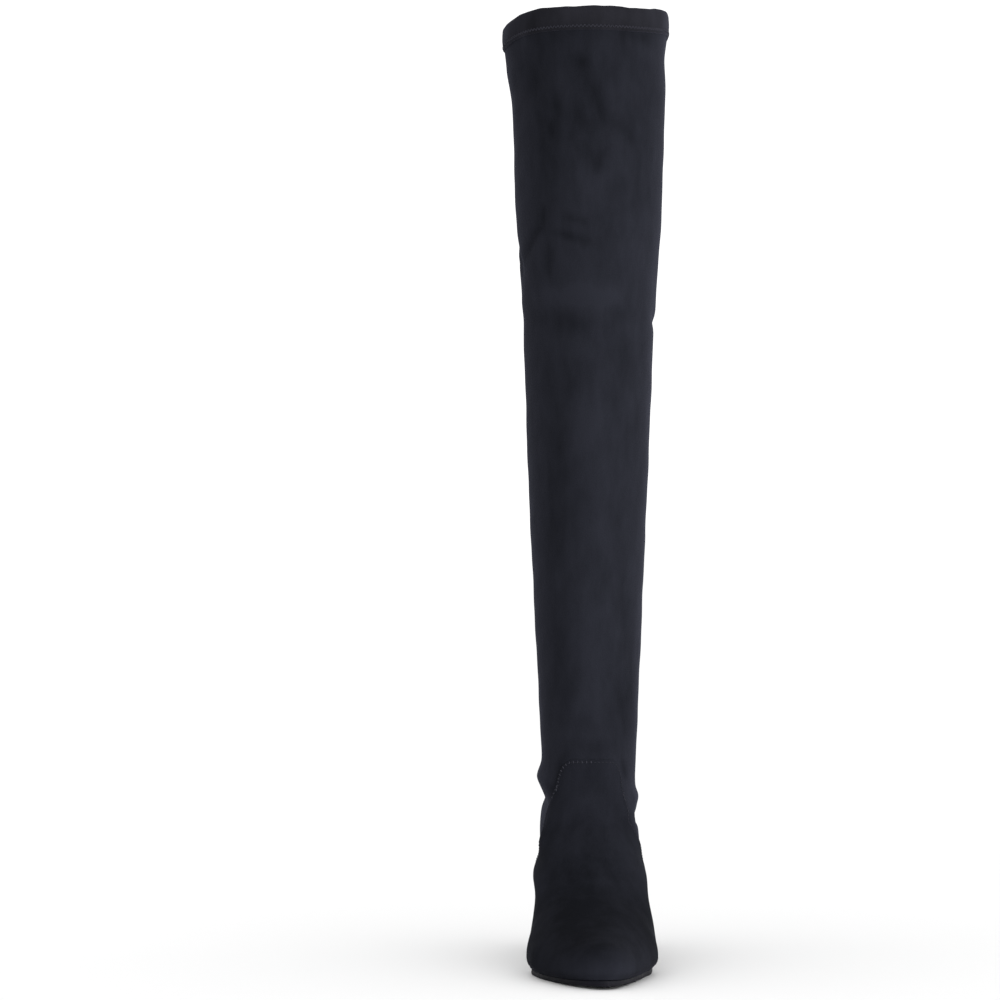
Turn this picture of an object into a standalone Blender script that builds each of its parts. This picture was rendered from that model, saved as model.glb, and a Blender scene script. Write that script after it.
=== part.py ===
"""A left thigh-high boot of stretch suede, built as its maker would: a lasted foot, a tall shaft and a covered heel.

Metres, +Z up. The toe points to -Y, the wearer's outer side is +X and the inner side is -X.
"along" runs forwards from the back of the heel, so that a point lies at y = -along.
The upper is worked out as rows around the boot. A row starts at its nose in front, and a level
numbers it: 0 to 1 climbs the toe, 1 to 2 runs back over the vamp to the ankle, 2 to 3 climbs the shaft.
"""

import math
from collections import namedtuple

import bpy
from mathutils import Vector

# Foot
FOOT_LENGTH = 0.240
BALL_WIDTH = 0.089
HEEL_HEIGHT = 0.060
INSTEP_RISE = 0.096
TOE_SPRING = 0.0025
TOE_ROUND_IN = 0.056
TOE_ROUND_OUT = 0.070
TOE_WALL_DEPTH = 0.017
TOE_WALL_POWER = 2.6
TOE_OVERHANG = 0.0018
HEEL_ROUND = 0.031
SHOULDER_POWER = 2.0
THICKENING_START = 0.35
THICKENING_REACH = 0.30
SHIN_SLOPE = 6.0
ANKLE_START = 0.076

# Shaft
SHAFT_LENGTH = 0.542
ANKLE_WIDTH = 0.0665
ANKLE_DEPTH = 0.092
COLLAR_WIDTH = 0.118
COLLAR_DEPTH = 0.134
COLLAR_DIP = 0.004
DIP_TURN = -0.5
DIP_REACH = 0.13
DIP_START = 0.8

# Walls and pieces
UPPER_WALL = 0.0018
VAMP_WALL = 0.0009
VAMP_LIFT = 0.0012
VAMP_GAP = 0.0008
HEM_WALL = 0.0009
HEM_HEIGHT = 0.0135
VAMP_TOP = 0.140
SOLE_FORE = 0.0040
SOLE_REAR = 0.0030
SOLE_MARGIN = 0.0012
INSOLE_WALL = 0.0020
INSOLE_EASE = 0.0010
INSOLE_LIFT = 0.0002
HEEL_EASE = 0.0003
SOLE_BEVEL = 0.0006
INSOLE_BEVEL = 0.0004
HEEL_LENGTH = 0.050
HEEL_WIDTH = 0.054
HEEL_INSET = 0.0005
HEEL_LEAN = 0.4
HEEL_FLARE = 1.6
HEEL_POWER = 2.2
BREAST_POWER = 5.0
TOP_PIECE_LENGTH = 0.041
TOP_PIECE_WIDTH = 0.045
TOP_PIECE_HEIGHT = 0.006
TOP_PIECE_BEVEL = 0.0008
CLEARANCE = 0.0003

# The levels below the toe's widest place
SWELL_LEVELS = 0.3

# How finely the pieces are cut
AROUND = 44
TOE_ROWS = 8
VAMP_ROWS = 14
SHAFT_ROWS = 16
SOLE_ROWS = AROUND // 2
HEM_ROWS = 2
HEEL_AROUND = 28
HEEL_ROWS = 7
SHARP_ANGLE = math.radians(40)
HALVINGS = 40
PLANK_TRIM = 0.0001

# Half widths are shares of the ball's width, for the inner (_in) and outer (_out) side.
Outline = namedtuple("Outline", "along sole_in sole_out belly_in belly_out belly_rise")
OUTLINES = [
    Outline(0.00, 0.310, 0.310, 0.355, 0.355, 0.20),
    Outline(0.12, 0.325, 0.325, 0.372, 0.372, 0.22),
    Outline(0.25, 0.305, 0.313, 0.385, 0.380, 0.26),
    Outline(0.40, 0.275, 0.325, 0.420, 0.385, 0.27),
    Outline(0.50, 0.325, 0.360, 0.465, 0.412, 0.27),
    Outline(0.60, 0.455, 0.410, 0.515, 0.437, 0.20),
    Outline(0.68, 0.515, 0.390, 0.555, 0.440, 0.12),
    Outline(0.76, 0.470, 0.320, 0.535, 0.400, 0.11),
    Outline(0.84, 0.400, 0.275, 0.475, 0.345, 0.10),
    Outline(0.92, 0.345, 0.240, 0.420, 0.310, 0.08),
    Outline(1.00, 0.310, 0.215, 0.380, 0.285, 0.07),
]

# The ridge's height above the sole, as a share of the instep's rise, from the ankle to the toe.
Ridge = namedtuple("Ridge", "along rise")
RIDGES = [
    Ridge(0.408, 1.000),
    Ridge(0.417, 0.900),
    Ridge(0.433, 0.822),
    Ridge(0.458, 0.764),
    Ridge(0.500, 0.700),
    Ridge(0.563, 0.622),
    Ridge(0.625, 0.541),
    Ridge(0.688, 0.460),
    Ridge(0.750, 0.393),
    Ridge(0.813, 0.338),
    Ridge(0.875, 0.291),
    Ridge(0.933, 0.250),
    Ridge(1.000, 0.205),
]

# The sole's underside, as shares of the heel's height and of the toe spring.
Tread = namedtuple("Tread", "along heel spring")
TREADS = [
    Tread(0.00, 1.000, 0.0),
    Tread(0.12, 0.955, 0.0),
    Tread(0.23, 0.905, 0.0),
    Tread(0.33, 0.730, 0.0),
    Tread(0.42, 0.475, 0.0),
    Tread(0.50, 0.250, 0.0),
    Tread(0.57, 0.090, 0.0),
    Tread(0.64, 0.000, 0.0),
    Tread(0.74, 0.000, 0.0),
    Tread(0.83, 0.000, 0.14),
    Tread(0.92, 0.000, 0.50),
    Tread(1.00, 0.000, 1.00),
]

# The ridge's sideways place, as a share of the ball's width. It ends at the tip of the toe.
Crown = namedtuple("Crown", "along side")
CROWNS = [
    Crown(0.00, 0.000),
    Crown(0.40, -0.010),
    Crown(0.65, -0.050),
    Crown(0.85, -0.045),
    Crown(1.00, -0.010),
]

# The back of the heel: its place along the foot, as a share of the foot's length, against
# the height over the seat, as a share of the instep's rise.
Back = namedtuple("Back", "rise along")
BACKS = [
    Back(0.00, 0.0120),
    Back(0.10, 0.0030),
    Back(0.22, 0.0000),
    Back(0.36, 0.0030),
    Back(0.50, 0.0110),
    Back(0.62, 0.0195),
    Back(0.71, 0.0245),
]

# The shaft from the ankle (up 0) to the collar (up 1). wide and deep go from the ankle's size
# (0) to the collar's (1), forward is a share of the ankle's depth, and fuller is how much
# the front half is wider than the back half.
Ring = namedtuple("Ring", "up wide deep forward fuller")
RINGS = [
    Ring(0.000, 0.000, 0.000, 0.000, 0.06),
    Ring(0.074, 0.070, 0.015, -0.002, 0.04),
    Ring(0.178, 0.168, 0.100, -0.015, 0.00),
    Ring(0.285, 0.270, 0.230, -0.028, -0.03),
    Ring(0.390, 0.375, 0.330, -0.030, -0.05),
    Ring(0.496, 0.458, 0.400, -0.015, -0.04),
    Ring(0.603, 0.535, 0.460, 0.012, -0.02),
    Ring(0.682, 0.628, 0.540, 0.030, 0.00),
    Ring(0.761, 0.742, 0.650, 0.038, 0.00),
    Ring(0.814, 0.782, 0.720, 0.042, 0.00),
    Ring(0.893, 0.852, 0.840, 0.048, 0.00),
    Ring(0.947, 0.915, 0.930, 0.052, 0.00),
    Ring(0.983, 1.000, 1.000, 0.055, 0.00),
    Ring(1.000, 0.985, 0.990, 0.055, 0.00),
]

# The edge of the vamp panel: its height, as a share of the height of its top, against the
# turn around the boot, which is 0 in front and 1 at the back.
Edge = namedtuple("Edge", "inner outer height")
VAMP_EDGES = [
    Edge(0.000, 0.000, 1.000),
    Edge(0.130, 0.110, 0.998),
    Edge(0.175, 0.146, 0.985),
    Edge(0.205, 0.164, 0.965),
    Edge(0.232, 0.182, 0.930),
    Edge(0.268, 0.199, 0.846),
    Edge(0.308, 0.219, 0.764),
    Edge(0.352, 0.252, 0.671),
    Edge(0.430, 0.345, 0.589),
    Edge(0.520, 0.450, 0.539),
    Edge(0.620, 0.590, 0.479),
    Edge(0.700, 0.700, 0.421),
]


def read(table, value, column, key="along"):
    """A smooth curve through one column of a table, without overshoot between its rows."""
    keys = [getattr(row, key) for row in table]
    data = [getattr(row, column) for row in table]
    if value <= keys[0]:
        return data[0]
    if value >= keys[-1]:
        return data[-1]
    steps = [b - a for a, b in zip(keys, keys[1:])]
    slopes = [(b - a) / step for a, b, step in zip(data, data[1:], steps)]
    at = max(i for i in range(len(steps)) if keys[i] <= value)

    def tangent(i):
        if i == 0 or i == len(steps):
            return slopes[min(i, len(steps) - 1)]
        before, after = slopes[i - 1], slopes[i]
        if before * after <= 0:
            return 0.0
        near = 2 * steps[i] + steps[i - 1]
        far = steps[i] + 2 * steps[i - 1]
        return (near + far) / (near / before + far / after)

    t = (value - keys[at]) / steps[at]
    rise = data[at + 1] - data[at]
    start = tangent(at) * steps[at]
    end = tangent(at + 1) * steps[at]
    return data[at] + t * start + t * t * (3 * rise - 2 * start - end) + t ** 3 * (start + end - 2 * rise)


def ease(share):
    """A smooth step from 0 to 1."""
    share = min(max(share, 0.0), 1.0)
    return share * share * (3 - 2 * share)


def quarter_round(share):
    """The height of a quarter circle: 0 at its end, 1 from its top on."""
    share = min(max(share, 0.0), 1.0)
    return math.sqrt(1 - (1 - share) ** 2)


def tread_height(along):
    """The underside of the outsole."""
    share = along / FOOT_LENGTH
    heel = read(TREADS, share, "heel") * (HEEL_HEIGHT - SOLE_REAR)
    return heel + read(TREADS, share, "spring") * TOE_SPRING


def sole_wall(along):
    """The outsole is thicker under the ball than under the heel."""
    fore = ease((along / FOOT_LENGTH - THICKENING_START) / THICKENING_REACH)
    return SOLE_REAR + fore * (SOLE_FORE - SOLE_REAR)


def seat_height(along):
    """The surface that the upper and the insole stand on."""
    return tread_height(along) + sole_wall(along)


def ridge_rise(along):
    """How far the ridge is above the seat, with no toe wall. Behind the ankle's front it climbs the shin."""
    behind = max(RIDGES[0].along * FOOT_LENGTH - along, 0.0)
    return read(RIDGES, along / FOOT_LENGTH, "rise") * INSTEP_RISE + behind * SHIN_SLOPE


def belly_rise(along):
    """How far the widest place of a side is above the seat."""
    return read(OUTLINES, along / FOOT_LENGTH, "belly_rise") * INSTEP_RISE


def crown_side(along):
    return read(CROWNS, along / FOOT_LENGTH, "side") * BALL_WIDTH


def toe_tip(rise):
    """The front of the toe at a height above the seat: it swells out from the sole's edge."""
    swell = ease(rise / belly_rise(FOOT_LENGTH))
    return FOOT_LENGTH - TOE_OVERHANG * (1 - swell)


def heel_back(rise):
    """The back of the heel at a height above the seat."""
    return read(BACKS, rise / INSTEP_RISE, "along", "rise") * FOOT_LENGTH


def toe_wall_rise(along):
    """The ridge's rise with the rounding of the toe wall."""
    wall_start = FOOT_LENGTH - TOE_WALL_DEPTH
    into_wall = min(max((along - wall_start) / TOE_WALL_DEPTH, 0.0), 1.0)
    rounding = (1 - into_wall ** TOE_WALL_POWER) ** (1 / TOE_WALL_POWER)
    belly = belly_rise(along)
    return belly + (ridge_rise(along) - belly) * rounding


def foot_side(along, rise, outer, tip, back, grow=0.0):
    """The sideways place of the foot's skin at a station, at a height above the seat."""
    share = along / FOOT_LENGTH
    names = ("sole_out", "belly_out") if outer else ("sole_in", "belly_in")
    sole, belly = (read(OUTLINES, share, name) * BALL_WIDTH for name in names)
    middle = crown_side(along) * (1 if outer else -1)
    belly_top = belly_rise(along)
    swell = ease(rise / belly_top)
    half = sole + (belly - sole) * swell - middle + grow
    toe_round = TOE_ROUND_OUT if outer else TOE_ROUND_IN
    half *= quarter_round((tip - along) / toe_round)
    half *= quarter_round((along - back) / HEEL_ROUND)
    if rise > belly_top:
        climbed = min((rise - belly_top) / max(toe_wall_rise(along) - belly_top, 1e-6), 1.0)
        half *= math.sqrt(max(1 - climbed ** SHOULDER_POWER, 0.0))
    return (middle + half) * (1 if outer else -1)


def nose(level):
    """Where a row of the foot meets the ridge: along, and the height above the seat."""
    belly = belly_rise(FOOT_LENGTH)
    if level < SWELL_LEVELS:
        rise = belly * level / SWELL_LEVELS
        return toe_tip(rise), rise
    if level < 1:
        angle = (level - SWELL_LEVELS) / (1 - SWELL_LEVELS) * math.pi / 2
        into_wall = math.cos(angle) ** (2 / TOE_WALL_POWER)
        along = FOOT_LENGTH - TOE_WALL_DEPTH * (1 - into_wall)
        wall = math.sin(angle) ** (2 / TOE_WALL_POWER)
        return along, belly_rise(along) + (ridge_rise(along) - belly_rise(along)) * wall
    start = FOOT_LENGTH - TOE_WALL_DEPTH
    end = RIDGES[0].along * FOOT_LENGTH
    along = start + (end - start) * math.sin((level - 1) * math.pi / 2)
    return along, ridge_rise(along)


def ankle_height():
    """The height of the front of the ankle, where the shaft starts."""
    return seat_height(RIDGES[0].along * FOOT_LENGTH) + INSTEP_RISE


def ring_point(up, turn):
    """A point of the shaft's skin: sideways, along."""
    width = ANKLE_WIDTH + read(RINGS, up, "wide", "up") * (COLLAR_WIDTH - ANKLE_WIDTH)
    depth = ANKLE_DEPTH + read(RINGS, up, "deep", "up") * (COLLAR_DEPTH - ANKLE_DEPTH)
    front = RIDGES[0].along * FOOT_LENGTH
    centre = front - ANKLE_DEPTH / 2 + read(RINGS, up, "forward", "up") * ANKLE_DEPTH
    fuller = read(RINGS, up, "fuller", "up")
    angle = turn * math.pi
    side = math.sin(angle) * (1 + fuller * math.cos(angle)) * width / 2
    return side, centre + math.cos(angle) * depth / 2


def foot_point(level, turn):
    """A point of a row that passes round the foot, from its nose to the back of the heel.

    The lowest rows follow the sole, and the rows above it turn level towards the ankle.
    """
    front, rise = nose(level)
    over_vamp = max(level - 1, 0.0)
    nose_height = seat_height(front) + rise
    toe_back_height = seat_height(0.0) + min(rise, nose(1.0)[1])
    back_height = toe_back_height + (ankle_height() - toe_back_height) * over_vamp
    back = heel_back(back_height - seat_height(0.0))
    share = (1 + math.cos(turn * math.pi)) / 2
    along = back + (front - back) * share
    sole_bow = seat_height(along) - seat_height(0.0) * (1 - share) - seat_height(front) * share
    height = back_height * (1 - share) + nose_height * share + sole_bow * (1 - ease(over_vamp))
    above = max(height - seat_height(along), 0.0)
    side = foot_side(along, above, turn > 0, toe_tip(rise), back)
    ringed = ease((height - ANKLE_START) / (ankle_height() - ANKLE_START))
    side += (ring_point(0.0, turn)[0] - side) * ringed
    return side, along, height


def shaft_point(level, turn):
    up = level - 2
    side, along = ring_point(up, turn)
    height = ankle_height() + up * SHAFT_LENGTH
    dip = COLLAR_DIP * math.exp(-(((turn - DIP_TURN) / DIP_REACH) ** 2))
    return side, along, height - dip * ease((up - DIP_START) / (1 - DIP_START))


def skin(level, turn):
    """A point of the upper's outer skin."""
    place = foot_point(level, turn) if level < 2 else shaft_point(level, turn)
    side, along, height = place
    return Vector((side, -along, height))


def level_at(height, turn):
    """The level at which the skin reaches a height, on one side of the boot."""
    low, high = 0.0, 3.0
    for _ in range(HALVINGS):
        middle = (low + high) / 2
        if skin(middle, turn).z < height:
            low = middle
        else:
            high = middle
    return low


def steps(count, start=0.0, end=1.0):
    return [start + (end - start) * i / count for i in range(count + 1)]


def material(name, colour, roughness):
    made = bpy.data.materials.new(name)
    made.use_nodes = True
    shader = made.node_tree.nodes["Principled BSDF"]
    shader.inputs["Base Color"].default_value = (*colour, 1.0)
    shader.inputs["Roughness"].default_value = roughness
    shader.inputs["Metallic"].default_value = 0.0
    return made


def piece(name, points, faces, made_of):
    """A mesh object in the boot's collection."""
    mesh = bpy.data.meshes.new(name)
    mesh.from_pydata(points, [], faces)
    mesh.validate()
    made = bpy.data.objects.new(name, mesh)
    made.data.materials.append(made_of)
    mesh.shade_smooth()
    mesh.set_sharp_from_angle(angle=SHARP_ANGLE)
    return made


def loft(name, rows, made_of, ring=True, ends=False):
    """A surface through rows of points, open at both ends or closed by flat ends."""
    count = len(rows[0])
    spans = count if ring else count - 1
    points = [point for row in rows for point in row]
    faces = []
    for r in range(len(rows) - 1):
        for c in range(spans):
            d = (c + 1) % count
            faces.append((r * count + c, r * count + d, (r + 1) * count + d, (r + 1) * count + c))
    if ends:
        last = (len(rows) - 1) * count
        faces.append(tuple(reversed(range(count))))
        faces.append(tuple(range(last, last + count)))
    return piece(name, points, faces, made_of)


def give_wall(made, wall, outside, gap=0.0):
    """A wall inside the surface, or outside it with a gap."""
    solid = made.modifiers.new("wall", "SOLIDIFY")
    solid.thickness = wall
    solid.offset = 1 + 2 * gap / wall if outside else -1
    solid.use_even_offset = True
    solid.use_rim = True


def row_levels():
    """The levels of the upper's rows, from the sole to the collar."""
    return steps(TOE_ROWS, 0, 1) + steps(VAMP_ROWS, 1, 2)[1:] + steps(SHAFT_ROWS, 2, 3)[1:]


def upper(suede):
    """The foot and the shaft in one wall, open at the collar and over the sole."""
    turns = [2 * i / AROUND - 1 for i in range(AROUND)]
    rows = [[skin(level, turn) for turn in turns] for level in row_levels()]
    made = loft("upper", rows, suede)
    give_wall(made, UPPER_WALL, outside=False)
    return made


def vamp_panel(suede):
    """The panel over the forefoot and instep, laid on the upper and stitched along its edge.

    It shares the upper's rows up to the lowest place of its edge, and in front all the way.
    On the sides its rows fan out from there to the edge.
    """
    reach = int(VAMP_EDGES[-1].inner * AROUND / 2)
    turns = [2 * i / AROUND for i in range(-reach, reach + 1)]
    start = SWELL_LEVELS * VAMP_LIFT / belly_rise(FOOT_LENGTH)
    sides = ["inner" if turn < 0 else "outer" for turn in turns]
    heights = [read(VAMP_EDGES, abs(turn), "height", side) * VAMP_TOP for turn, side in zip(turns, sides)]
    edges = [level_at(height, turn) for height, turn in zip(heights, turns)]
    levels = [start] + [level for level in row_levels() if start < level < max(edges)] + [max(edges)]
    fork = max(level for level in levels if level < min(edges))
    rows = []
    for level in levels:
        share = max(level - fork, 0.0) / (max(edges) - fork)
        places = [min(level, fork) + (edge - fork) * share for edge in edges]
        rows.append([skin(place, turn) for place, turn in zip(places, turns)])
    made = loft("vamp_panel", rows, suede, ring=False)
    give_wall(made, VAMP_WALL, outside=True, gap=VAMP_GAP)
    return made


def collar_hem(suede):
    """The band where the shaft's edge is folded over and stitched."""
    start = 3 - HEM_HEIGHT / SHAFT_LENGTH
    turns = [2 * i / AROUND - 1 for i in range(AROUND)]
    rows = [[skin(level, turn) for turn in turns] for level in steps(HEM_ROWS, start, 3)]
    made = loft("collar_hem", rows, suede)
    give_wall(made, HEM_WALL, outside=True, gap=CLEARANCE)
    return made


def plank(name, bottom, top, grow, round_edge, made_of):
    """A sheet with the foot's outline, whose surfaces follow the sole."""
    back = heel_back(0.0) - grow
    front = toe_tip(0.0) + grow
    rows = []
    for step in steps(SOLE_ROWS):
        share = (1 - math.cos(step * math.pi)) / 2
        along = back + PLANK_TRIM + (front - back - 2 * PLANK_TRIM) * share
        inner, outer = (foot_side(along, 0, is_outer, front, back, grow) for is_outer in (False, True))
        middle = (inner + outer) / 2
        low, high = bottom(along), top(along)
        bevel = min(round_edge, (outer - inner) / 4)
        row = [(inner + bevel, low), (middle, low), (outer - bevel, low), (outer, low + bevel)]
        row += [(outer, high), (middle, high), (inner, high), (inner, low + bevel)]
        rows.append([Vector((side, -along, height)) for side, height in row])
    return loft(name, rows, made_of, ends=True)


def outsole(made_of):
    def top(along):
        return seat_height(along) - CLEARANCE

    return plank("outsole", tread_height, top, SOLE_MARGIN, SOLE_BEVEL, made_of)


def insole(made_of):
    def bottom(along):
        return seat_height(along) + INSOLE_LIFT

    def top(along):
        return bottom(along) + INSOLE_WALL

    return plank("insole", bottom, top, -UPPER_WALL - INSOLE_EASE, INSOLE_BEVEL, made_of)


def heel_outline(length, width, back, height):
    """Rounded behind, nearly flat at the breast. height gives the height at a place along."""
    row = []
    for i in range(HEEL_AROUND):
        angle = 2 * math.pi * i / HEEL_AROUND
        sine, cosine = math.sin(angle), math.cos(angle)
        power = 2 / (BREAST_POWER if cosine > 0 else HEEL_POWER)
        across = math.copysign(abs(sine) ** power, sine) * width / 2
        forward = math.copysign(abs(cosine) ** power, cosine) * length / 2
        along = back + length / 2 + forward
        row.append(Vector((-across, -along, height(along))))
    return row


def heel_top_back():
    return heel_back(0.0) + HEEL_INSET


def heel_bottom_back():
    return heel_top_back() + (HEEL_LENGTH - TOP_PIECE_LENGTH) * HEEL_LEAN


def heel_block(suede):
    """The covered heel, from under the outsole down to its top piece."""
    bottom = TOP_PIECE_HEIGHT + CLEARANCE
    back_top = heel_top_back()
    drop = CLEARANCE + HEEL_EASE
    back_height = tread_height(back_top) - drop
    breast_height = tread_height(back_top + HEEL_LENGTH) - drop
    rows = []
    for step in steps(HEEL_ROWS):
        taper = 1 - (1 - step) ** HEEL_FLARE
        length = HEEL_LENGTH + (TOP_PIECE_LENGTH - HEEL_LENGTH) * taper
        width = HEEL_WIDTH + (TOP_PIECE_WIDTH - HEEL_WIDTH) * taper
        back = back_top + (heel_bottom_back() - back_top) * taper

        def height(along, step=step):
            top = back_height + (breast_height - back_height) * (along - back_top) / HEEL_LENGTH
            return (1 - step) * top + step * bottom

        rows.append(heel_outline(length, width, back, height))
    return loft("heel_block", rows, suede, ends=True)


def top_piece(rubber):
    """The rubber lift that the heel stands on, its lower edge bevelled."""
    rows = []
    for height, inset in ((TOP_PIECE_HEIGHT, 0.0), (TOP_PIECE_BEVEL, 0.0), (0.0, TOP_PIECE_BEVEL)):
        length = TOP_PIECE_LENGTH - 2 * inset
        width = TOP_PIECE_WIDTH - 2 * inset
        back = heel_bottom_back() + inset
        rows.append(heel_outline(length, width, back, lambda along, height=height: height))
    return loft("top_piece", rows, rubber, ends=True)


def stand_on_floor(pieces):
    """Parents the pieces to an empty, with the floor under the middle of the boot at the world's origin."""
    graph = bpy.context.evaluated_depsgraph_get()
    corners = []
    for made in pieces:
        corners += [Vector(corner) for corner in made.evaluated_get(graph).bound_box]
    low = [min(corner[i] for corner in corners) for i in range(3)]
    high = [max(corner[i] for corner in corners) for i in range(3)]
    base = bpy.data.objects.new("boot", None)
    bpy.context.collection.objects.link(base)
    base.location = (-(low[0] + high[0]) / 2, -(low[1] + high[1]) / 2, -low[2])
    for made in pieces:
        made.parent = base


def main():
    for old in list(bpy.data.objects):
        bpy.data.objects.remove(old)
    boot = bpy.data.collections.new("thigh_high_boot")
    bpy.context.scene.collection.children.link(boot)
    shaft_suede = material("shaft_suede", (0.022, 0.022, 0.028), 0.95)
    vamp_suede = material("vamp_suede", (0.015, 0.015, 0.019), 0.95)
    heel_suede = material("heel_suede", (0.018, 0.018, 0.023), 0.95)
    hem_suede = material("hem_suede", (0.025, 0.025, 0.031), 0.95)
    sole_leather = material("sole_leather", (0.060, 0.058, 0.070), 0.6)
    board = material("insole_board", (0.030, 0.028, 0.030), 0.8)
    rubber = material("top_piece_rubber", (0.012, 0.012, 0.013), 0.7)
    pieces = [
        upper(shaft_suede),
        vamp_panel(vamp_suede),
        collar_hem(hem_suede),
        insole(board),
        outsole(sole_leather),
        heel_block(heel_suede),
        top_piece(rubber),
    ]
    for made in pieces:
        boot.objects.link(made)
    bpy.context.view_layer.update()
    stand_on_floor(pieces)


main()
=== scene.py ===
"""Looks for a left thigh-high boot of stretch suede: folds, seams, stitches, nap, painted light and
shade, and the studio round it.

Metres, +Z up. The toe points to -Y, the wearer's outer side is +X and the inner side is -X.
"along" runs forwards from the back of the heel. The skin of the boot is worked out as rows around it.
A row starts at its nose in front, and a level numbers it: 0 to 1 climbs the toe, 1 to 2 runs back
over the vamp to the ankle, 2 to 3 climbs the shaft. A turn goes round a row: 0 is in front, +1 and -1
meet at the back, and + is the outer side.
"""

import math
from collections import namedtuple

import bmesh
import bpy
import numpy as np
from bpy.props import FloatProperty, PointerProperty, StringProperty
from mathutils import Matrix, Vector


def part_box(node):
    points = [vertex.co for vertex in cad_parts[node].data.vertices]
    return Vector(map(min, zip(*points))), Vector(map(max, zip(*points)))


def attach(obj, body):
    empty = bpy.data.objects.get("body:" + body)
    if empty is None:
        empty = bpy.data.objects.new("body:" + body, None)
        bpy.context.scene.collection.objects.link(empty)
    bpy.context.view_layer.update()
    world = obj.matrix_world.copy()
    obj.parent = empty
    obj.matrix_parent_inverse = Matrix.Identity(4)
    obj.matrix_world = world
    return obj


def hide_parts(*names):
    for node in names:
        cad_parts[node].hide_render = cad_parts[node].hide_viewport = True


bl_info = {
    "name": "Thigh High Boot",
    "version": (1, 0, 0),
    "blender": (4, 5, 0),
    "location": "View3D > Sidebar > Boot",
    "description": "Builds the visible pieces of a thigh-high suede boot over its frame",
    "category": "Object",
}

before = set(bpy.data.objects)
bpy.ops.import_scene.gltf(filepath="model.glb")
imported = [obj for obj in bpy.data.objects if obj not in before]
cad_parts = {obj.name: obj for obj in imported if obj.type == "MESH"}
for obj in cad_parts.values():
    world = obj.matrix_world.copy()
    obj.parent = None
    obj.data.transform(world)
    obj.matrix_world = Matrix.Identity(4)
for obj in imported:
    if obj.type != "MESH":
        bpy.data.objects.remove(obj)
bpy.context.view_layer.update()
BODY = "root"
MM = 0.001

# Foot
FOOT_LENGTH = 0.240
BALL_WIDTH = 0.089
HEEL_HEIGHT = 0.060
INSTEP_RISE = 0.096
TOE_SPRING = 0.0025
TOE_ROUND_IN = 0.056
TOE_ROUND_OUT = 0.070
TOE_WALL_DEPTH = 0.017
TOE_WALL_POWER = 2.6
TOE_OVERHANG = 0.0018
HEEL_ROUND = 0.031
SHOULDER_POWER = 2.0
THICKENING_START = 0.35
THICKENING_REACH = 0.30
SHIN_SLOPE = 6.0
ANKLE_START = 0.076
# How far down the sides bulge, against the plain solid
BELLY_DROP = 0.82
# How fast a side swells out from the sole's edge: over 1, it is full below its widest place
SIDE_SWELL = 1.25
SOLE_FORE = 0.0040
SOLE_REAR = 0.0030
SOLE_MARGIN = 0.0012

# Shaft
SHAFT_LENGTH = 0.542
ANKLE_WIDTH = 0.0665
ANKLE_DEPTH = 0.092
COLLAR_WIDTH = 0.118
COLLAR_DEPTH = 0.134
COLLAR_DIP = 0.0072
DIP_TURN = -0.5
DIP_REACH = 0.17
DIP_START = 0.8
COLLAR_RISE = 0.0030
RISE_TURN = 0.42
RISE_REACH = 0.16
COLLAR_LEAN = 0.0024
LEAN_START = 0.895
LEAN_REACH = 0.05

# The levels below the toe's widest place
SWELL_LEVELS = 0.3

# Half widths are shares of the ball's width, for the inner (_in) and outer (_out) side.
Outline = namedtuple("Outline", "along sole_in sole_out belly_in belly_out belly_rise")
OUTLINES = [
    Outline(0.00, 0.310, 0.310, 0.355, 0.355, 0.20),
    Outline(0.12, 0.325, 0.325, 0.372, 0.372, 0.22),
    Outline(0.25, 0.305, 0.313, 0.385, 0.380, 0.26),
    Outline(0.40, 0.275, 0.325, 0.420, 0.385, 0.27),
    Outline(0.50, 0.325, 0.360, 0.465, 0.412, 0.27),
    Outline(0.60, 0.455, 0.410, 0.515, 0.437, 0.20),
    Outline(0.68, 0.515, 0.390, 0.555, 0.440, 0.12),
    Outline(0.76, 0.470, 0.320, 0.535, 0.400, 0.11),
    Outline(0.84, 0.400, 0.275, 0.475, 0.345, 0.10),
    Outline(0.92, 0.345, 0.240, 0.420, 0.310, 0.08),
    Outline(1.00, 0.310, 0.215, 0.380, 0.285, 0.07),
]

# The ridge's height above the sole, as a share of the instep's rise, from the ankle to the toe.
Ridge = namedtuple("Ridge", "along rise")
RIDGES = [
    Ridge(0.408, 1.000),
    Ridge(0.417, 0.900),
    Ridge(0.433, 0.822),
    Ridge(0.458, 0.764),
    Ridge(0.500, 0.700),
    Ridge(0.563, 0.622),
    Ridge(0.625, 0.541),
    Ridge(0.688, 0.460),
    Ridge(0.750, 0.393),
    Ridge(0.813, 0.338),
    Ridge(0.875, 0.291),
    Ridge(0.933, 0.250),
    Ridge(1.000, 0.205),
]

# The sole's underside, as shares of the heel's height and of the toe spring.
Tread = namedtuple("Tread", "along heel spring")
TREADS = [
    Tread(0.00, 1.000, 0.0),
    Tread(0.12, 0.955, 0.0),
    Tread(0.23, 0.905, 0.0),
    Tread(0.33, 0.730, 0.0),
    Tread(0.42, 0.475, 0.0),
    Tread(0.50, 0.250, 0.0),
    Tread(0.57, 0.090, 0.0),
    Tread(0.64, 0.000, 0.0),
    Tread(0.74, 0.000, 0.0),
    Tread(0.83, 0.000, 0.14),
    Tread(0.92, 0.000, 0.50),
    Tread(1.00, 0.000, 1.00),
]

# The ridge's sideways place, as a share of the ball's width. It ends at the tip of the toe.
Crown = namedtuple("Crown", "along side")
CROWNS = [
    Crown(0.00, 0.000),
    Crown(0.40, -0.010),
    Crown(0.65, -0.050),
    Crown(0.85, -0.045),
    Crown(1.00, -0.010),
]

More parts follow.
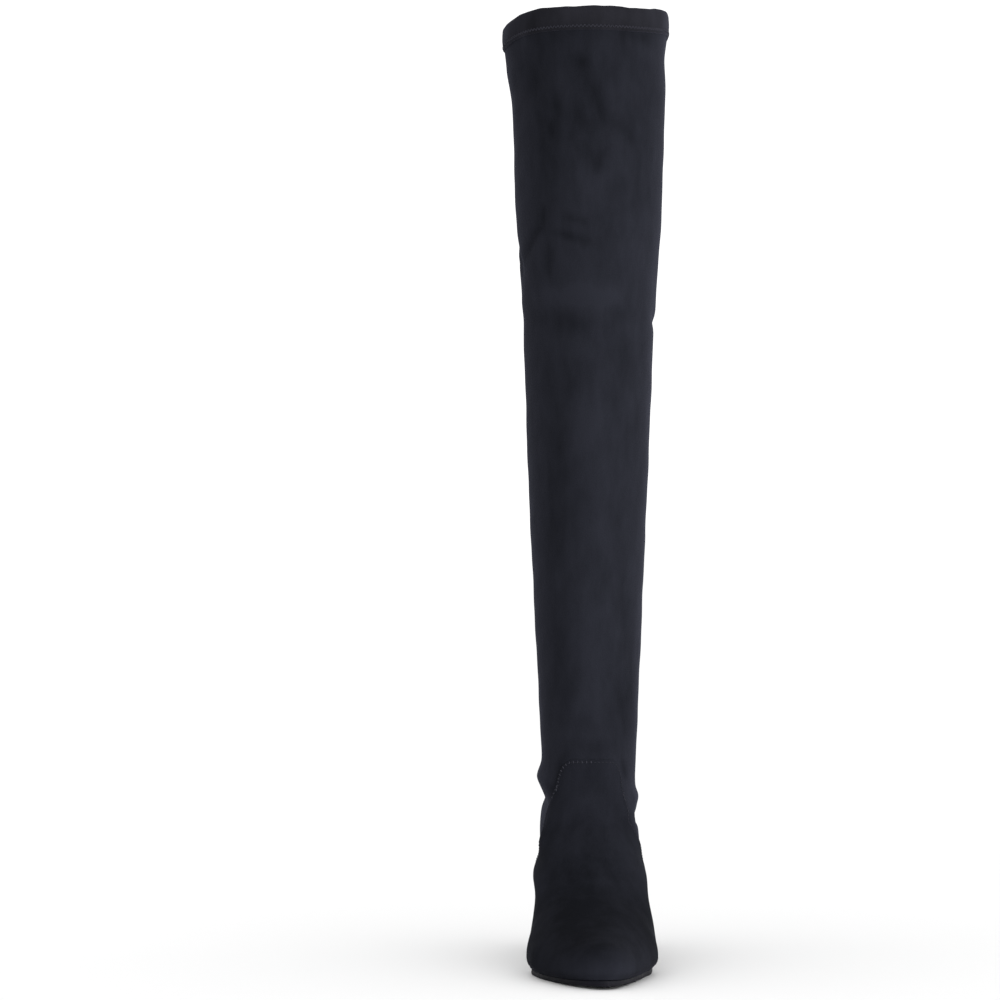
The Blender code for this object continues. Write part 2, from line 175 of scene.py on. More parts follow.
# The back of the heel: its place along the foot against the height over the seat.
Back = namedtuple("Back", "rise along")
BACKS = [
    Back(0.00, 0.0120),
    Back(0.10, 0.0030),
    Back(0.22, 0.0000),
    Back(0.36, 0.0030),
    Back(0.50, 0.0110),
    Back(0.62, 0.0195),
    Back(0.71, 0.0245),
]

# The shaft from the ankle (up 0) to the collar (up 1), as shares of the ankle's and collar's sizes.
Ring = namedtuple("Ring", "up wide deep forward fuller")
RINGS = [
    Ring(0.000, 0.000, 0.000, 0.000, 0.06),
    Ring(0.074, 0.070, 0.015, -0.002, 0.04),
    Ring(0.178, 0.168, 0.100, -0.015, 0.00),
    Ring(0.285, 0.270, 0.230, -0.028, -0.03),
    Ring(0.390, 0.375, 0.330, -0.030, -0.05),
    Ring(0.496, 0.458, 0.400, -0.015, -0.04),
    Ring(0.603, 0.535, 0.460, 0.012, -0.02),
    Ring(0.682, 0.628, 0.540, 0.030, 0.00),
    Ring(0.761, 0.742, 0.650, 0.038, 0.00),
    Ring(0.814, 0.782, 0.720, 0.042, 0.00),
    Ring(0.893, 0.852, 0.840, 0.048, 0.00),
    Ring(0.947, 0.915, 0.930, 0.052, 0.00),
    Ring(0.983, 1.000, 1.000, 0.055, 0.00),
    Ring(1.000, 0.985, 0.990, 0.055, 0.00),
]

# The edge of the vamp panel: its height in millimetres, and the turns at which its inner and its
# outer side have that height. The outer side lies nearer the middle.
Edge = namedtuple("Edge", "inner outer height")
VAMP_EDGES = [
    Edge(0.000, 0.000, 142.2),
    Edge(0.130, 0.115, 142.0),
    Edge(0.175, 0.158, 139.8),
    Edge(0.205, 0.178, 136.5),
    Edge(0.232, 0.196, 130.8),
    Edge(0.250, 0.201, 124.0),
    Edge(0.268, 0.205, 118.5),
    Edge(0.308, 0.216, 107.0),
    Edge(0.330, 0.236, 100.0),
    Edge(0.352, 0.276, 94.0),
    Edge(0.385, 0.335, 88.0),
    Edge(0.430, 0.405, 82.5),
    Edge(0.520, 0.500, 75.5),
    Edge(0.620, 0.600, 67.0),
    Edge(0.700, 0.700, 59.0),
]

# Soft troughs (depth above 0) and ridges (below 0) on the front of the boot, in millimetres:
# from one place to another, sideways of the middle and above the floor.
Fold = namedtuple("Fold", "side height to_side to_height width depth")
FRONT_FOLDS = [
    # under the hem
    Fold(18, 655, 18, 632, 3.0, 0.5),
    Fold(23, 652, 40, 651, 3.6, 0.9),
    Fold(27, 641, 44, 637, 4.5, -0.4),
    Fold(-33, 652, -14, 655, 3.0, 0.5),
    Fold(-46, 640, -40, 612, 6.0, 0.7),
    # pulled dimples over the thigh
    Fold(-18, 634, -7, 631, 4.5, 0.8),
    Fold(-7, 620, 5, 590, 6.5, 0.9),
    Fold(8, 618, 15, 596, 5.0, -0.5),
    Fold(-12, 595, -4, 584, 4.5, 0.8),
    Fold(-28, 607, -26, 598, 3.5, 0.9),
    Fold(-30, 589, -30, 581, 3.0, 0.7),
    Fold(17, 589, 28, 578, 4.5, 0.8),
    Fold(-6, 572, 0, 560, 4.8, 0.6),
    Fold(0, 560, 7, 572, 4.8, 0.5),
    Fold(-8, 561, 1, 551, 3.5, -0.3),
    Fold(1, 551, 10, 562, 3.5, -0.3),
    # over the knee
    Fold(-35, 531, -36, 515, 2.8, 1.2),
    Fold(-39, 516, -47, 496, 2.6, 1.1),
    Fold(-47, 496, -49, 474, 4.0, 0.7),
    Fold(-31, 500, -31, 485, 2.2, 0.8),
    Fold(-21, 524, -7, 521, 2.4, 0.9),
    Fold(-26, 514, -5, 507, 2.6, 1.2),
    Fold(-24, 507, -8, 501, 3.0, -0.5),
    Fold(-9, 505, -8, 501, 2.4, 0.7),
    Fold(12, 527, 30, 534, 4.0, 0.5),
    Fold(18, 509, 36, 514, 4.5, 0.5),
    # the band under the knee
    Fold(-29, 470, 12, 470, 6.5, -1.6),
    Fold(-41, 456, -8, 447, 7.0, 1.8),
    Fold(10, 458, 32, 453, 6.0, 0.8),
    Fold(-32, 436, -4, 430, 7.0, -0.6),
    # down the shin
    Fold(-24, 400, -27, 300, 9.0, 0.7),
    Fold(2, 410, 1, 330, 10.0, -0.5),
    Fold(24, 350, 28, 262, 9.0, 0.5),
    Fold(-20, 230, -18, 170, 7.0, 0.6),
    Fold(20, 200, 22, 160, 7.0, 0.5),
    # where the shaft sinks onto the vamp
    Fold(-18, 152, 12, 150, 4.0, 0.7),
    Fold(-20, 160, 16, 158, 4.0, -0.5),
]

# Folds all the way round the boot: turns from the front, heights above the floor in millimetres.
Wrap = namedtuple("Wrap", "turn height to_turn to_height width depth")
WRAPS = [
    # inner side of the ankle
    Wrap(-0.66, 128.5, -0.36, 126, 7.5, -4.0),
    Wrap(-0.64, 113, -0.38, 110, 5.0, 2.0),
    # outer side of the ankle
    Wrap(0.34, 112, 0.62, 116, 4.8, -2.0),
    Wrap(0.36, 100, 0.62, 98, 4.2, 3.2),
    # back of the ankle
    Wrap(0.78, 150, 1.00, 142, 4.5, 1.5),
    Wrap(-1.00, 142, -0.74, 149, 4.5, 1.5),
    Wrap(0.70, 166, 0.96, 160, 5.5, -1.0),
    Wrap(-0.98, 172, -0.70, 168, 5.0, 1.1),
    # calf
    Wrap(0.60, 236, 0.86, 222, 8.0, 0.9),
    Wrap(-0.88, 262, -0.62, 276, 9.0, 0.9),
    Wrap(0.66, 330, 0.90, 344, 9.0, 0.8),
    # back of the knee
    Wrap(0.56, 452, 0.98, 466, 5.5, 2.0),
    Wrap(0.62, 480, 0.94, 488, 6.0, -1.2),
    Wrap(-0.98, 470, -0.60, 455, 5.5, 2.0),
    Wrap(-0.92, 500, -0.56, 508, 5.5, 1.8),
    Wrap(0.52, 512, 0.90, 506, 5.0, 1.7),
    Wrap(0.40, 456, 0.56, 450, 4.5, 1.6),
    Wrap(-0.52, 512, -0.44, 490, 4.0, 1.6),
    # thigh
    Wrap(-0.86, 560, -0.58, 548, 8.0, 1.1),
    Wrap(0.60, 585, 0.88, 598, 8.0, 1.1),
    Wrap(-0.72, 640, -0.56, 610, 7.0, 1.0),
    # slack over the knee
    Wrap(-1.00, 500, 1.00, 500, 55.0, -0.9),
    # slack beside the panel's edge
    Wrap(-0.64, 104, -0.38, 84, 8.0, -1.6),
    # waist of the foot
    Wrap(-0.62, 66, -0.34, 58, 9.0, -4.0),
    Wrap(0.34, 58, 0.60, 66, 9.0, -2.2),
]

# Painted light and shade, with some patches of the nap: lighter (tone above 0) or darker, from one
# place to another, in millimetres sideways of the middle and above the floor.
LightAndNap = namedtuple("LightAndNap", "side height to_side to_height width tone")
LIGHT_AND_NAP_STROKES = [
    # hem
    LightAndNap(-52, 655, -42, 664, 7.0, -0.22),
    LightAndNap(-36, 669, -27, 669, 4.0, -0.18),
    LightAndNap(-22, 669, -6, 668, 6.0, 0.25),
    LightAndNap(10, 668, 40, 666, 6.0, 0.12),
    LightAndNap(50, 664, 54, 662, 4.0, 0.25),
    # thigh: painted shade on the inner side and painted light on the outer side; painted shade under
    # the hem and in the pulled dimples between
    LightAndNap(0, 640, 0, 560, 60.0, -0.03),
    LightAndNap(-10, 530, 10, 480, 26.0, 0.08),
    LightAndNap(-38, 655, -36, 560, 10.0, -0.14),
    LightAndNap(30, 640, 33, 590, 14.0, 0.10),
    LightAndNap(-40, 650, 20, 652, 6.0, -0.12),
    LightAndNap(21, 656, 40, 647, 5.0, -0.16),
    LightAndNap(-19, 638, -6, 630, 5.5, -0.14),
    LightAndNap(-6, 625, 8, 585, 8.5, -0.18),
    LightAndNap(-14, 600, -1, 578, 6.0, -0.16),
    LightAndNap(-29, 607, -26, 598, 4.0, -0.16),
    LightAndNap(-30, 589, -30, 581, 3.5, -0.16),
    LightAndNap(17, 589, 28, 577, 6.5, -0.14),
    LightAndNap(-5, 572, 0, 560, 6.0, -0.14),
    LightAndNap(0, 560, 6, 572, 6.0, -0.14),
    LightAndNap(-6, 551, 9, 552, 4.5, 0.10),
    LightAndNap(-12, 545, 4, 532, 12.0, 0.10),
    # knee: painted shade in its creases and under the band, a painted highlight along the band and on
    # the outer side
    LightAndNap(-35, 530, -36, 514, 4.0, -0.20),
    LightAndNap(-38, 516, -47, 494, 3.0, -0.22),
    LightAndNap(-31, 505, -31, 482, 4.5, -0.20),
    LightAndNap(-16, 524, -7, 520, 3.5, -0.18),
    LightAndNap(-25, 513, -5, 506, 4.0, -0.18),
    LightAndNap(30, 520, 34, 480, 12.0, 0.10),
    LightAndNap(-26, 469, 11, 469, 8.0, 0.26),
    LightAndNap(-38, 456, -12, 447, 9.0, -0.04),
    # calf and shin: a painted highlight down the middle, painted shade beside it
    LightAndNap(0, 430, 0, 190, 42.0, 0.24),
    LightAndNap(-5, 400, -4, 340, 10.0, 0.16),
    LightAndNap(-4, 330, -3, 235, 10.0, 0.08),
    LightAndNap(-3, 225, -2, 162, 11.0, 0.26),
    LightAndNap(-26, 372, -24, 190, 9.0, -0.22),
    LightAndNap(25, 250, 23, 160, 8.0, -0.30),
    # ankle: pale in the middle, painted shadow beside the panel's corners, and a painted highlight beside
    # the panel's inner edge where the side turns away
    LightAndNap(0, 132, 0, 92, 26.0, 0.16),
    LightAndNap(-18, 147, -23, 137, 3.0, -0.35),
    LightAndNap(-23, 137, -25, 124, 2.5, -0.30),
    LightAndNap(-28, 122, -27, 118, 2.5, -0.40),
    LightAndNap(22, 140, 24, 129, 2.0, -0.45),
    LightAndNap(-31, 112, -35, 94, 2.2, 1.20),
    # forefoot: painted shade over its top and sides, painted light low along the front of the toe
    LightAndNap(0, 60, 0, 22, 34.0, -0.30),
    LightAndNap(-21, 62, -23, 30, 12.0, -0.30),
    LightAndNap(0, 42, 4, 27, 24.0, -0.16),
    LightAndNap(32, 48, 38, 16, 12.0, -0.42),
    LightAndNap(-22, 12, 22, 12, 8.0, 0.60),
]

# Painted shade in the troughs and painted light on the ridges: how much darker a trough is for each
# millimetre of its depth
TROUGH_PAINTED_SHADE = 0.16


class Curve:
    """A smooth curve through one column of a table, without overshoot between its rows."""

    def __init__(self, table, column, key="along"):
        self.keys = np.array([getattr(row, key) for row in table], float)
        self.data = np.array([getattr(row, column) for row in table], float)
        gaps = np.diff(self.keys)
        slopes = np.diff(self.data) / gaps
        tangents = np.empty_like(self.data)
        tangents[0], tangents[-1] = slopes[0], slopes[-1]
        for i in range(1, len(gaps)):
            before, after = slopes[i - 1], slopes[i]
            near = 2 * gaps[i] + gaps[i - 1]
            far = gaps[i] + 2 * gaps[i - 1]
            flat = before * after <= 0
            tangents[i] = 0.0 if flat else (near + far) / (near / before + far / after)
        self.gaps, self.tangents = gaps, tangents

    def __call__(self, value):
        value = np.clip(value, self.keys[0], self.keys[-1])
        at = np.clip(np.searchsorted(self.keys, value, side="right") - 1, 0, len(self.gaps) - 1)
        gap = self.gaps[at]
        t = (value - self.keys[at]) / gap
        rise = self.data[at + 1] - self.data[at]
        start = self.tangents[at] * gap
        end = self.tangents[at + 1] * gap
        bend = t * t * (3 * rise - 2 * start - end)
        twist = t ** 3 * (start + end - 2 * rise)
        return self.data[at] + t * start + bend + twist


SIDES = {name: Curve(OUTLINES, name) for name in ("sole_in", "sole_out", "belly_in", "belly_out")}
BELLY_RISE = Curve(OUTLINES, "belly_rise")
RIDGE_RISE = Curve(RIDGES, "rise")
TREAD_HEEL = Curve(TREADS, "heel")
TREAD_SPRING = Curve(TREADS, "spring")
CROWN_SIDE = Curve(CROWNS, "side")
HEEL_BACK = Curve(BACKS, "along", "rise")
RING_WIDE = Curve(RINGS, "wide", "up")
RING_DEEP = Curve(RINGS, "deep", "up")
RING_FORWARD = Curve(RINGS, "forward", "up")
RING_FULLER = Curve(RINGS, "fuller", "up")
INNER_VAMP_EDGE = Curve(VAMP_EDGES, "height", "inner")
OUTER_VAMP_EDGE = Curve(VAMP_EDGES, "height", "outer")


def ease(share):
    """A smooth step from 0 to 1."""
    share = np.clip(share, 0.0, 1.0)
    return share * share * (3 - 2 * share)


def quarter_round(share):
    """The height of a quarter circle: 0 at its end, 1 from its top on."""
    share = np.clip(share, 0.0, 1.0)
    return np.sqrt(1 - (1 - share) ** 2)


def bell(away, reach):
    """A soft hump: 1 in its middle, about a third at its reach."""
    return np.exp(-((away / reach) ** 2))


def tread_height(along):
    """The underside of the outsole."""
    share = along / FOOT_LENGTH
    return TREAD_HEEL(share) * (HEEL_HEIGHT - SOLE_REAR) + TREAD_SPRING(share) * TOE_SPRING


def seat_height(along):
    """The surface that the upper and the insole stand on."""
    fore = ease((along / FOOT_LENGTH - THICKENING_START) / THICKENING_REACH)
    return tread_height(along) + SOLE_REAR + fore * (SOLE_FORE - SOLE_REAR)


def ridge_rise(along):
    """How far the ridge is above the seat. Behind the ankle's front it climbs the shin."""
    behind = np.maximum(RIDGES[0].along * FOOT_LENGTH - along, 0.0)
    return RIDGE_RISE(along / FOOT_LENGTH) * INSTEP_RISE + behind * SHIN_SLOPE


def belly_rise(along):
    """How far the widest place of a side is above the seat."""
    return BELLY_RISE(along / FOOT_LENGTH) * INSTEP_RISE * BELLY_DROP


def toe_tip(rise):
    """The front of the toe at a height above the seat: it swells out from the sole's edge."""
    return FOOT_LENGTH - TOE_OVERHANG * (1 - ease(rise / belly_rise(FOOT_LENGTH)))


def heel_back(rise):
    """The back of the heel at a height above the seat."""
    return HEEL_BACK(rise / INSTEP_RISE) * FOOT_LENGTH


def toe_wall_rise(along):
    """The ridge's rise with the rounding of the toe wall."""
    wall_start = FOOT_LENGTH - TOE_WALL_DEPTH
    into_wall = np.clip((along - wall_start) / TOE_WALL_DEPTH, 0.0, 1.0)
    rounding = (1 - into_wall ** TOE_WALL_POWER) ** (1 / TOE_WALL_POWER)
    belly = belly_rise(along)
    return belly + (ridge_rise(along) - belly) * rounding


def foot_side(along, rise, outer, tip, back, grow=0.0):
    """The sideways place of the foot's skin at a station, at a height above the seat."""
    share = along / FOOT_LENGTH
    sign = np.where(outer, 1.0, -1.0)
    sole = np.where(outer, SIDES["sole_out"](share), SIDES["sole_in"](share)) * BALL_WIDTH
    belly = np.where(outer, SIDES["belly_out"](share), SIDES["belly_in"](share)) * BALL_WIDTH
    middle = CROWN_SIDE(share) * BALL_WIDTH * sign
    belly_top = belly_rise(along)
    swell = np.sin(np.clip(rise / belly_top * SIDE_SWELL, 0.0, 1.0) * math.pi / 2)
    half = sole + (belly - sole) * swell - middle + grow
    half = half * quarter_round((tip - along) / np.where(outer, TOE_ROUND_OUT, TOE_ROUND_IN))
    half = half * quarter_round((along - back) / HEEL_ROUND)
    climbed = np.clip((rise - belly_top) / np.maximum(toe_wall_rise(along) - belly_top, 1e-6), 0.0, 1.0)
    half = half * np.sqrt(1 - climbed ** SHOULDER_POWER)
    return (middle + half) * sign


def nose(level):
    """Where a row of the foot meets the ridge: along, and the height above the seat."""
    belly = belly_rise(FOOT_LENGTH)
    swell_rise = belly * np.minimum(level / SWELL_LEVELS, 1.0)
    angle = np.clip((level - SWELL_LEVELS) / (1 - SWELL_LEVELS), 0.0, 1.0) * math.pi / 2
    wall_along = FOOT_LENGTH - TOE_WALL_DEPTH * (1 - np.cos(angle) ** (2 / TOE_WALL_POWER))
    wall_belly = belly_rise(wall_along)
    wall_rise = wall_belly + (ridge_rise(wall_along) - wall_belly) * np.sin(angle) ** (2 / TOE_WALL_POWER)
    start = FOOT_LENGTH - TOE_WALL_DEPTH
    end = RIDGES[0].along * FOOT_LENGTH
    vamp_along = start + (end - start) * np.sin(np.clip(level - 1, 0.0, 1.0) * math.pi / 2)
    along = np.where(level < SWELL_LEVELS, toe_tip(swell_rise), np.where(level < 1, wall_along, vamp_along))
    rise = np.where(level < SWELL_LEVELS, swell_rise, np.where(level < 1, wall_rise, ridge_rise(vamp_along)))
    return along, rise


def ankle_height():
    """The height of the front of the ankle, where the shaft starts."""
    return seat_height(RIDGES[0].along * FOOT_LENGTH) + INSTEP_RISE


def ring_point(up, turn):
    """A point of the shaft's skin: sideways, along."""
    width = ANKLE_WIDTH + RING_WIDE(up) * (COLLAR_WIDTH - ANKLE_WIDTH)
    depth = ANKLE_DEPTH + RING_DEEP(up) * (COLLAR_DEPTH - ANKLE_DEPTH)
    centre = RIDGES[0].along * FOOT_LENGTH - ANKLE_DEPTH / 2 + RING_FORWARD(up) * ANKLE_DEPTH
    angle = turn * math.pi
    side = np.sin(angle) * (1 + RING_FULLER(up) * np.cos(angle)) * width / 2
    return side, centre + np.cos(angle) * depth / 2


def foot_point(level, turn):
    """A point of a row that passes round the foot, from its nose to the back of the heel."""
    front, rise = nose(level)
    over_vamp = np.maximum(level - 1, 0.0)
    nose_height = seat_height(front) + rise
    toe_back_height = seat_height(0.0) + np.minimum(rise, nose(np.float64(1.0))[1])
    back_height = toe_back_height + (ankle_height() - toe_back_height) * over_vamp
    back = heel_back(back_height - seat_height(0.0))
    share = (1 + np.cos(turn * math.pi)) / 2
    along = back + (front - back) * share
    sole_bow = seat_height(along) - seat_height(0.0) * (1 - share) - seat_height(front) * share
    height = back_height * (1 - share) + nose_height * share + sole_bow * (1 - ease(over_vamp))
    above = np.maximum(height - seat_height(along), 0.0)
    side = foot_side(along, above, turn > 0, toe_tip(rise), back)
    ringed = ease((height - ANKLE_START) / (ankle_height() - ANKLE_START))
    return side + (ring_point(0.0, turn)[0] - side) * ringed, along, height


def shaft_point(level, turn):
    """A point of a row of the shaft."""
    up = level - 2
    side, along = ring_point(up, turn)
    height = ankle_height() + up * SHAFT_LENGTH
    dip = COLLAR_DIP * bell(turn - DIP_TURN, DIP_REACH)
    rise = COLLAR_RISE * bell(turn - RISE_TURN, RISE_REACH)
    lean = COLLAR_LEAN * ease((up - LEAN_START) / LEAN_REACH)
    return side - lean, along, height + (rise - dip) * ease((up - DIP_START) / (1 - DIP_START))


# How far the back of the top piece is in from the heel's back, and from it how far along the foot
# the frame's origin is
TOP_PIECE_INSET = 0.00698
ORIGIN_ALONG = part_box("top_piece")[1].y + TOP_PIECE_INSET


def placed(side, along, height):
    """Points in the frame's place, from how far sideways, along the foot and up they are."""
    return np.stack([side, ORIGIN_ALONG - along, height], axis=-1)


def skin(level, turn):
    """Points of the smooth outer skin, in the frame's place. level and turn are arrays of one shape."""
    level, turn = np.broadcast_arrays(np.asarray(level, float), np.asarray(turn, float))
    foot = foot_point(np.minimum(level, 2.0), turn)
    shaft = shaft_point(np.maximum(level, 2.0), turn)
    return placed(*(np.where(level >= 2, b, a) for a, b in zip(foot, shaft)))


# The half girth of the shaft in millimetres, at the ankle and at the collar
ANKLE_GIRTH = 125.0
COLLAR_GIRTH = 198.0

# Up to which turn the folds of the front reach, and over how much they fade
FRONT_REACH = 0.60
FRONT_FADE = 0.10

# The walls of the visible pieces, in metres
UPPER_WALL = 0.0018
BODY_WALL = 0.0027

# The highest level that is used: the hem stands a little over level 3
TOP_LEVEL = 3.2

# How much weaker a stroke is at its ends than in its middle
STROKE_FADE = 0.35

# How deep the waves of the slack skin are on the foot, how much deeper on the shaft, and the
# height at which and over which they grow, in millimetres
FOOT_WAVES = 0.12
SHAFT_WAVES = 0.38
WAVES_START = 120
WAVES_RISE = 60

# The back seam in millimetres: the depth and reach of its groove, and on each side the height, place
# and reach of the ridge over its turned-in edge
SEAM_GROOVE = 0.5
SEAM_REACH = 1.1
SEAM_RIDGE = 0.28
SEAM_RIDGE_PLACE = 3.4
SEAM_RIDGE_REACH = 1.8


def half_girth(height):
    """From the front to the back of a row, in millimetres, at a height in millimetres."""
    share = (height - ankle_height() / MM) / (SHAFT_LENGTH / MM)
    return ANKLE_GIRTH + (COLLAR_GIRTH - ANKLE_GIRTH) * np.clip(share, 0.0, 1.0)


def stroke(u, v, start_u, start_v, end_u, end_v, width):
    """How strongly a place feels a soft stroke between two points: about 1 on it, 0 far away."""
    run_u, run_v = end_u - start_u, end_v - start_v
    share = ((u - start_u) * run_u + (v - start_v) * run_v) / (run_u ** 2 + run_v ** 2 + 1e-9)
    share = np.clip(share, 0.0, 1.0)
    away = (u - start_u - share * run_u) ** 2 + (v - start_v - share * run_v) ** 2
    return np.exp(-away / width ** 2) * (1 - STROKE_FADE * (2 * share - 1) ** 2)


def add_marks(total, marks, side, height, turn):
    """Adds what each stroke of a table does to the front of the boot."""
    facing = ease((FRONT_REACH - np.abs(turn)) / FRONT_FADE)
    for mark in marks:
        total += mark[-1] * facing * stroke(side, height, *mark[:-1])


def waviness(points):
    """The slow unevenness of cloth that nothing stretches, between about -1 and 1. Waves some 70 to
    140 mm long and others half as long cross each other."""
    x, y, z = (points[..., i] / MM for i in range(3))
    wide = np.sin(x / 11 + z / 23 + 1.3) * np.sin(z / 17 - y / 19 + 0.4)
    narrow = np.sin(x / 5.3 - z / 9.1 + 2.2) * np.sin(z / 7.7 + y / 6.1 + 0.9)
    return (wide + 0.5 * narrow) / 1.5


def sink(points, turn):
    """How far the skin sinks at each point, in metres: folds, slack and the seam at the back."""
    sizes = bpy.context.scene.boot_sizes
    side, height = points[..., 0] / MM, points[..., 2] / MM
    girth = half_girth(height)
    depth = np.zeros_like(side)
    add_marks(depth, FRONT_FOLDS, side, height, turn)
    for wrap in WRAPS:
        start, end = wrap.turn * girth, wrap.to_turn * girth
        felt = stroke(turn * girth, height, start, wrap.height, end, wrap.to_height, wrap.width)
        depth += wrap.depth * felt
    depth += waviness(points) * (FOOT_WAVES + SHAFT_WAVES * ease((height - WAVES_START) / WAVES_RISE))
    from_seam = (1 - np.abs(turn)) * girth
    groove = SEAM_GROOVE * bell(from_seam, SEAM_REACH)
    depth += groove - SEAM_RIDGE * bell(from_seam - SEAM_RIDGE_PLACE, SEAM_RIDGE_REACH)
    return depth * sizes.fold_strength * MM


def wrapped(turn):
    """A turn brought back between -1 and 1."""
    return (turn + 1) % 2 - 1


def outward(level, turn):
    """The outward normal of the smooth skin."""
    small = 1e-3
    above, below = (np.clip(level + step, 0.0, TOP_LEVEL) for step in (small, -small))
    up = skin(above, turn) - skin(below, turn)
    across = skin(level, wrapped(turn + small)) - skin(level, wrapped(turn - small))
    normal = np.cross(across, up)
    return normal / np.maximum(np.linalg.norm(normal, axis=-1, keepdims=True), 1e-12)


def boot_skin(level, turn, lift=0.0):
    """Points of the folded skin, lifted off it along its outward normal, in metres."""
    level, turn, lift = np.broadcast_arrays(*(np.asarray(v, float) for v in (level, turn, lift)))
    base = skin(level, turn)
    return base + outward(level, turn) * (lift - sink(base, turn))[..., None]


def column_turns(count, start=-1.0, end=1.0):
    """Turns for the columns of a piece: closer together in front and at the seam behind."""
    fine = np.linspace(start, end, 4001)
    in_front = ease((0.55 - np.abs(fine)) / 0.2)
    at_seam = bell(1 - np.abs(fine), 0.025)
    crowd = 1 + 0.45 * in_front + 2.2 * at_seam
    run = np.concatenate([[0.0], np.cumsum((crowd[1:] + crowd[:-1]) / 2)])
    return np.interp(np.linspace(0.0, run[-1], count), run, fine)


def level_at(height, turn):
    """The levels at which the skin reaches given heights, in metres."""
    low, high = np.zeros_like(turn), np.full_like(turn, 3.0)
    halvings = 30
    for _ in range(halvings):
        middle = (low + high) / 2
        under = skin(middle, turn)[..., 2] < height
        low, high = np.where(under, middle, low), np.where(under, high, middle)
    return low


def lower(level, turn, distance):
    """The level that lies a distance further down the skin, in metres."""
    steps = 12
    small = 2e-4
    for _ in range(steps):
        run = np.linalg.norm(skin(level, turn) - skin(level - small, turn), axis=-1) / small
        level = level - distance / steps / run
    return level


# Meshes


def strip_faces(rows, columns, ring_columns, ring_rows):
    """The four-cornered faces of a grid of points that is numbered row by row."""
    r = np.arange(rows if ring_rows else rows - 1)[:, None]
    c = np.arange(columns if ring_columns else columns - 1)[None, :]
    r2, c2 = (r + 1) % rows, (c + 1) % columns
    corners = [r * columns + c, r * columns + c2, r2 * columns + c2, r2 * columns + c]
    return np.stack(corners, axis=-1).reshape(-1, 4)


def tube_faces(rows, columns):
    """The faces of a tube whose section runs over the rows, with both its ends closed."""
    faces = strip_faces(rows, columns, False, True).tolist()
    for end in (0, columns - 1):
        faces.append([row * columns + end for row in range(rows)])
    return faces


def add_piece(name, points, faces, finishes, node, face_finish=None):
    """A mesh object in place of a node of the frame."""
    mesh = bpy.data.meshes.new(name)
    mesh.from_pydata(np.asarray(points).reshape(-1, 3).tolist(), [], [list(map(int, face)) for face in faces])
    for finish in finishes:
        mesh.materials.append(finish)
    if face_finish is not None:
        mesh.polygons.foreach_set("material_index", np.asarray(face_finish, dtype=np.int32))
    mesh.shade_smooth()
    made = bpy.data.objects.new(name, mesh)
    bpy.context.scene.collection.objects.link(made)
    settle(made, node)
    return made


def settle(made, node):
    """Ties a finished piece to the frame."""
    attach(made, BODY)
    if node:
        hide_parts(node)


# Where two faces meet at more than this angle, a crisp piece shows an edge.
CRISP_ANGLE = math.radians(50)


def tidy_shell(made, crisp=False):
    """Merges doubled points of a closed shell and turns its faces outwards."""
    shape = bmesh.new()
    shape.from_mesh(made.data)
    bmesh.ops.remove_doubles(shape, verts=shape.verts, dist=2e-6)
    bmesh.ops.dissolve_degenerate(shape, edges=shape.edges, dist=1e-7)
    bmesh.ops.recalc_face_normals(shape, faces=shape.faces)
    shape.to_mesh(made.data)
    shape.free()
    made.data.shade_smooth()
    if crisp:
        made.data.set_sharp_from_angle(angle=CRISP_ANGLE)


def light_and_nap_tone(level, turn):
    """The painted light and shade at places of the skin, in its troughs and from the strokes of the table,
    with the nap's patches: 0 is its mean.
    """
    level, turn = np.broadcast_arrays(level, turn)
    base = skin(level, turn)
    tone = -TROUGH_PAINTED_SHADE * sink(base, turn) / MM
    add_marks(tone, LIGHT_AND_NAP_STROKES, base[..., 0] / MM, base[..., 2] / MM, turn)
    return tone


def keep_light_and_nap(made, tones):
    """Keeps the painted light and shade, with the nap's patches, at each point for its material."""
    # the nap attribute carries the painted light and shade
    spot = made.data.attributes.new("nap", "FLOAT", "POINT")
    spot.data.foreach_set("value", np.asarray(tones, dtype=np.float32).ravel())


# The grid of the upper: rows over the toe, the foot and the shaft, columns round it, and how many
# of its rows there are to one of the lining
TOE_ROWS = 27
FOOT_ROWS = 71
SHAFT_ROWS = 228
UPPER_COLUMNS = 225
LINING_STEP = 4


def build_upper(finish, lining):
    """The foot and shaft in one wall: suede outside, knitted lining inside."""
    toe, foot = np.linspace(0, 1, TOE_ROWS)[:-1], np.linspace(1, 2, FOOT_ROWS)[:-1]
    levels = np.concatenate([toe, foot, np.linspace(2, 3, SHAFT_ROWS)])
    turns = column_turns(UPPER_COLUMNS)[:-1]
    outer = boot_skin(levels[:, None], turns[None, :])
    inside = np.unique(np.append(np.arange(0, len(levels), LINING_STEP), len(levels) - 1))[::-1]
    inner_levels = levels[inside]
    # the wall thickens over the toe, and thins again where the hem folds over it
    body = ease((inner_levels - 0.6) / 0.6) * ease((2.97 - inner_levels) / 0.05)
    walls = UPPER_WALL + (BODY_WALL - UPPER_WALL) * body
    inner = boot_skin(inner_levels[:, None], turns[None, :], -walls[:, None])
    points = np.concatenate([outer, inner])
    faces = strip_faces(len(points), len(turns), True, True)
    lined = np.arange(len(faces)) // len(turns) >= len(levels) - 1
    made = add_piece("upper_suede", points, faces, [finish, lining], "upper", lined)
    # painted light and shade on the suede, none on the lining
    tones = np.zeros(points.shape[:2])
    tones[: len(levels)] = light_and_nap_tone(levels[:, None], turns[None, :])
    keep_light_and_nap(made, tones)
    return made


# The vamp panel: how far its face and its underside are lifted off the boot, and how wide the roll
# of its edge is
VAMP_LIFT = 1.0 * MM
VAMP_UNDERSIDE = -0.25 * MM
EDGE_ROLL = 0.9 * MM
# How far round it reaches, and the level on the sole's rim where it starts
VAMP_REACH = 0.69
VAMP_START = 0.012
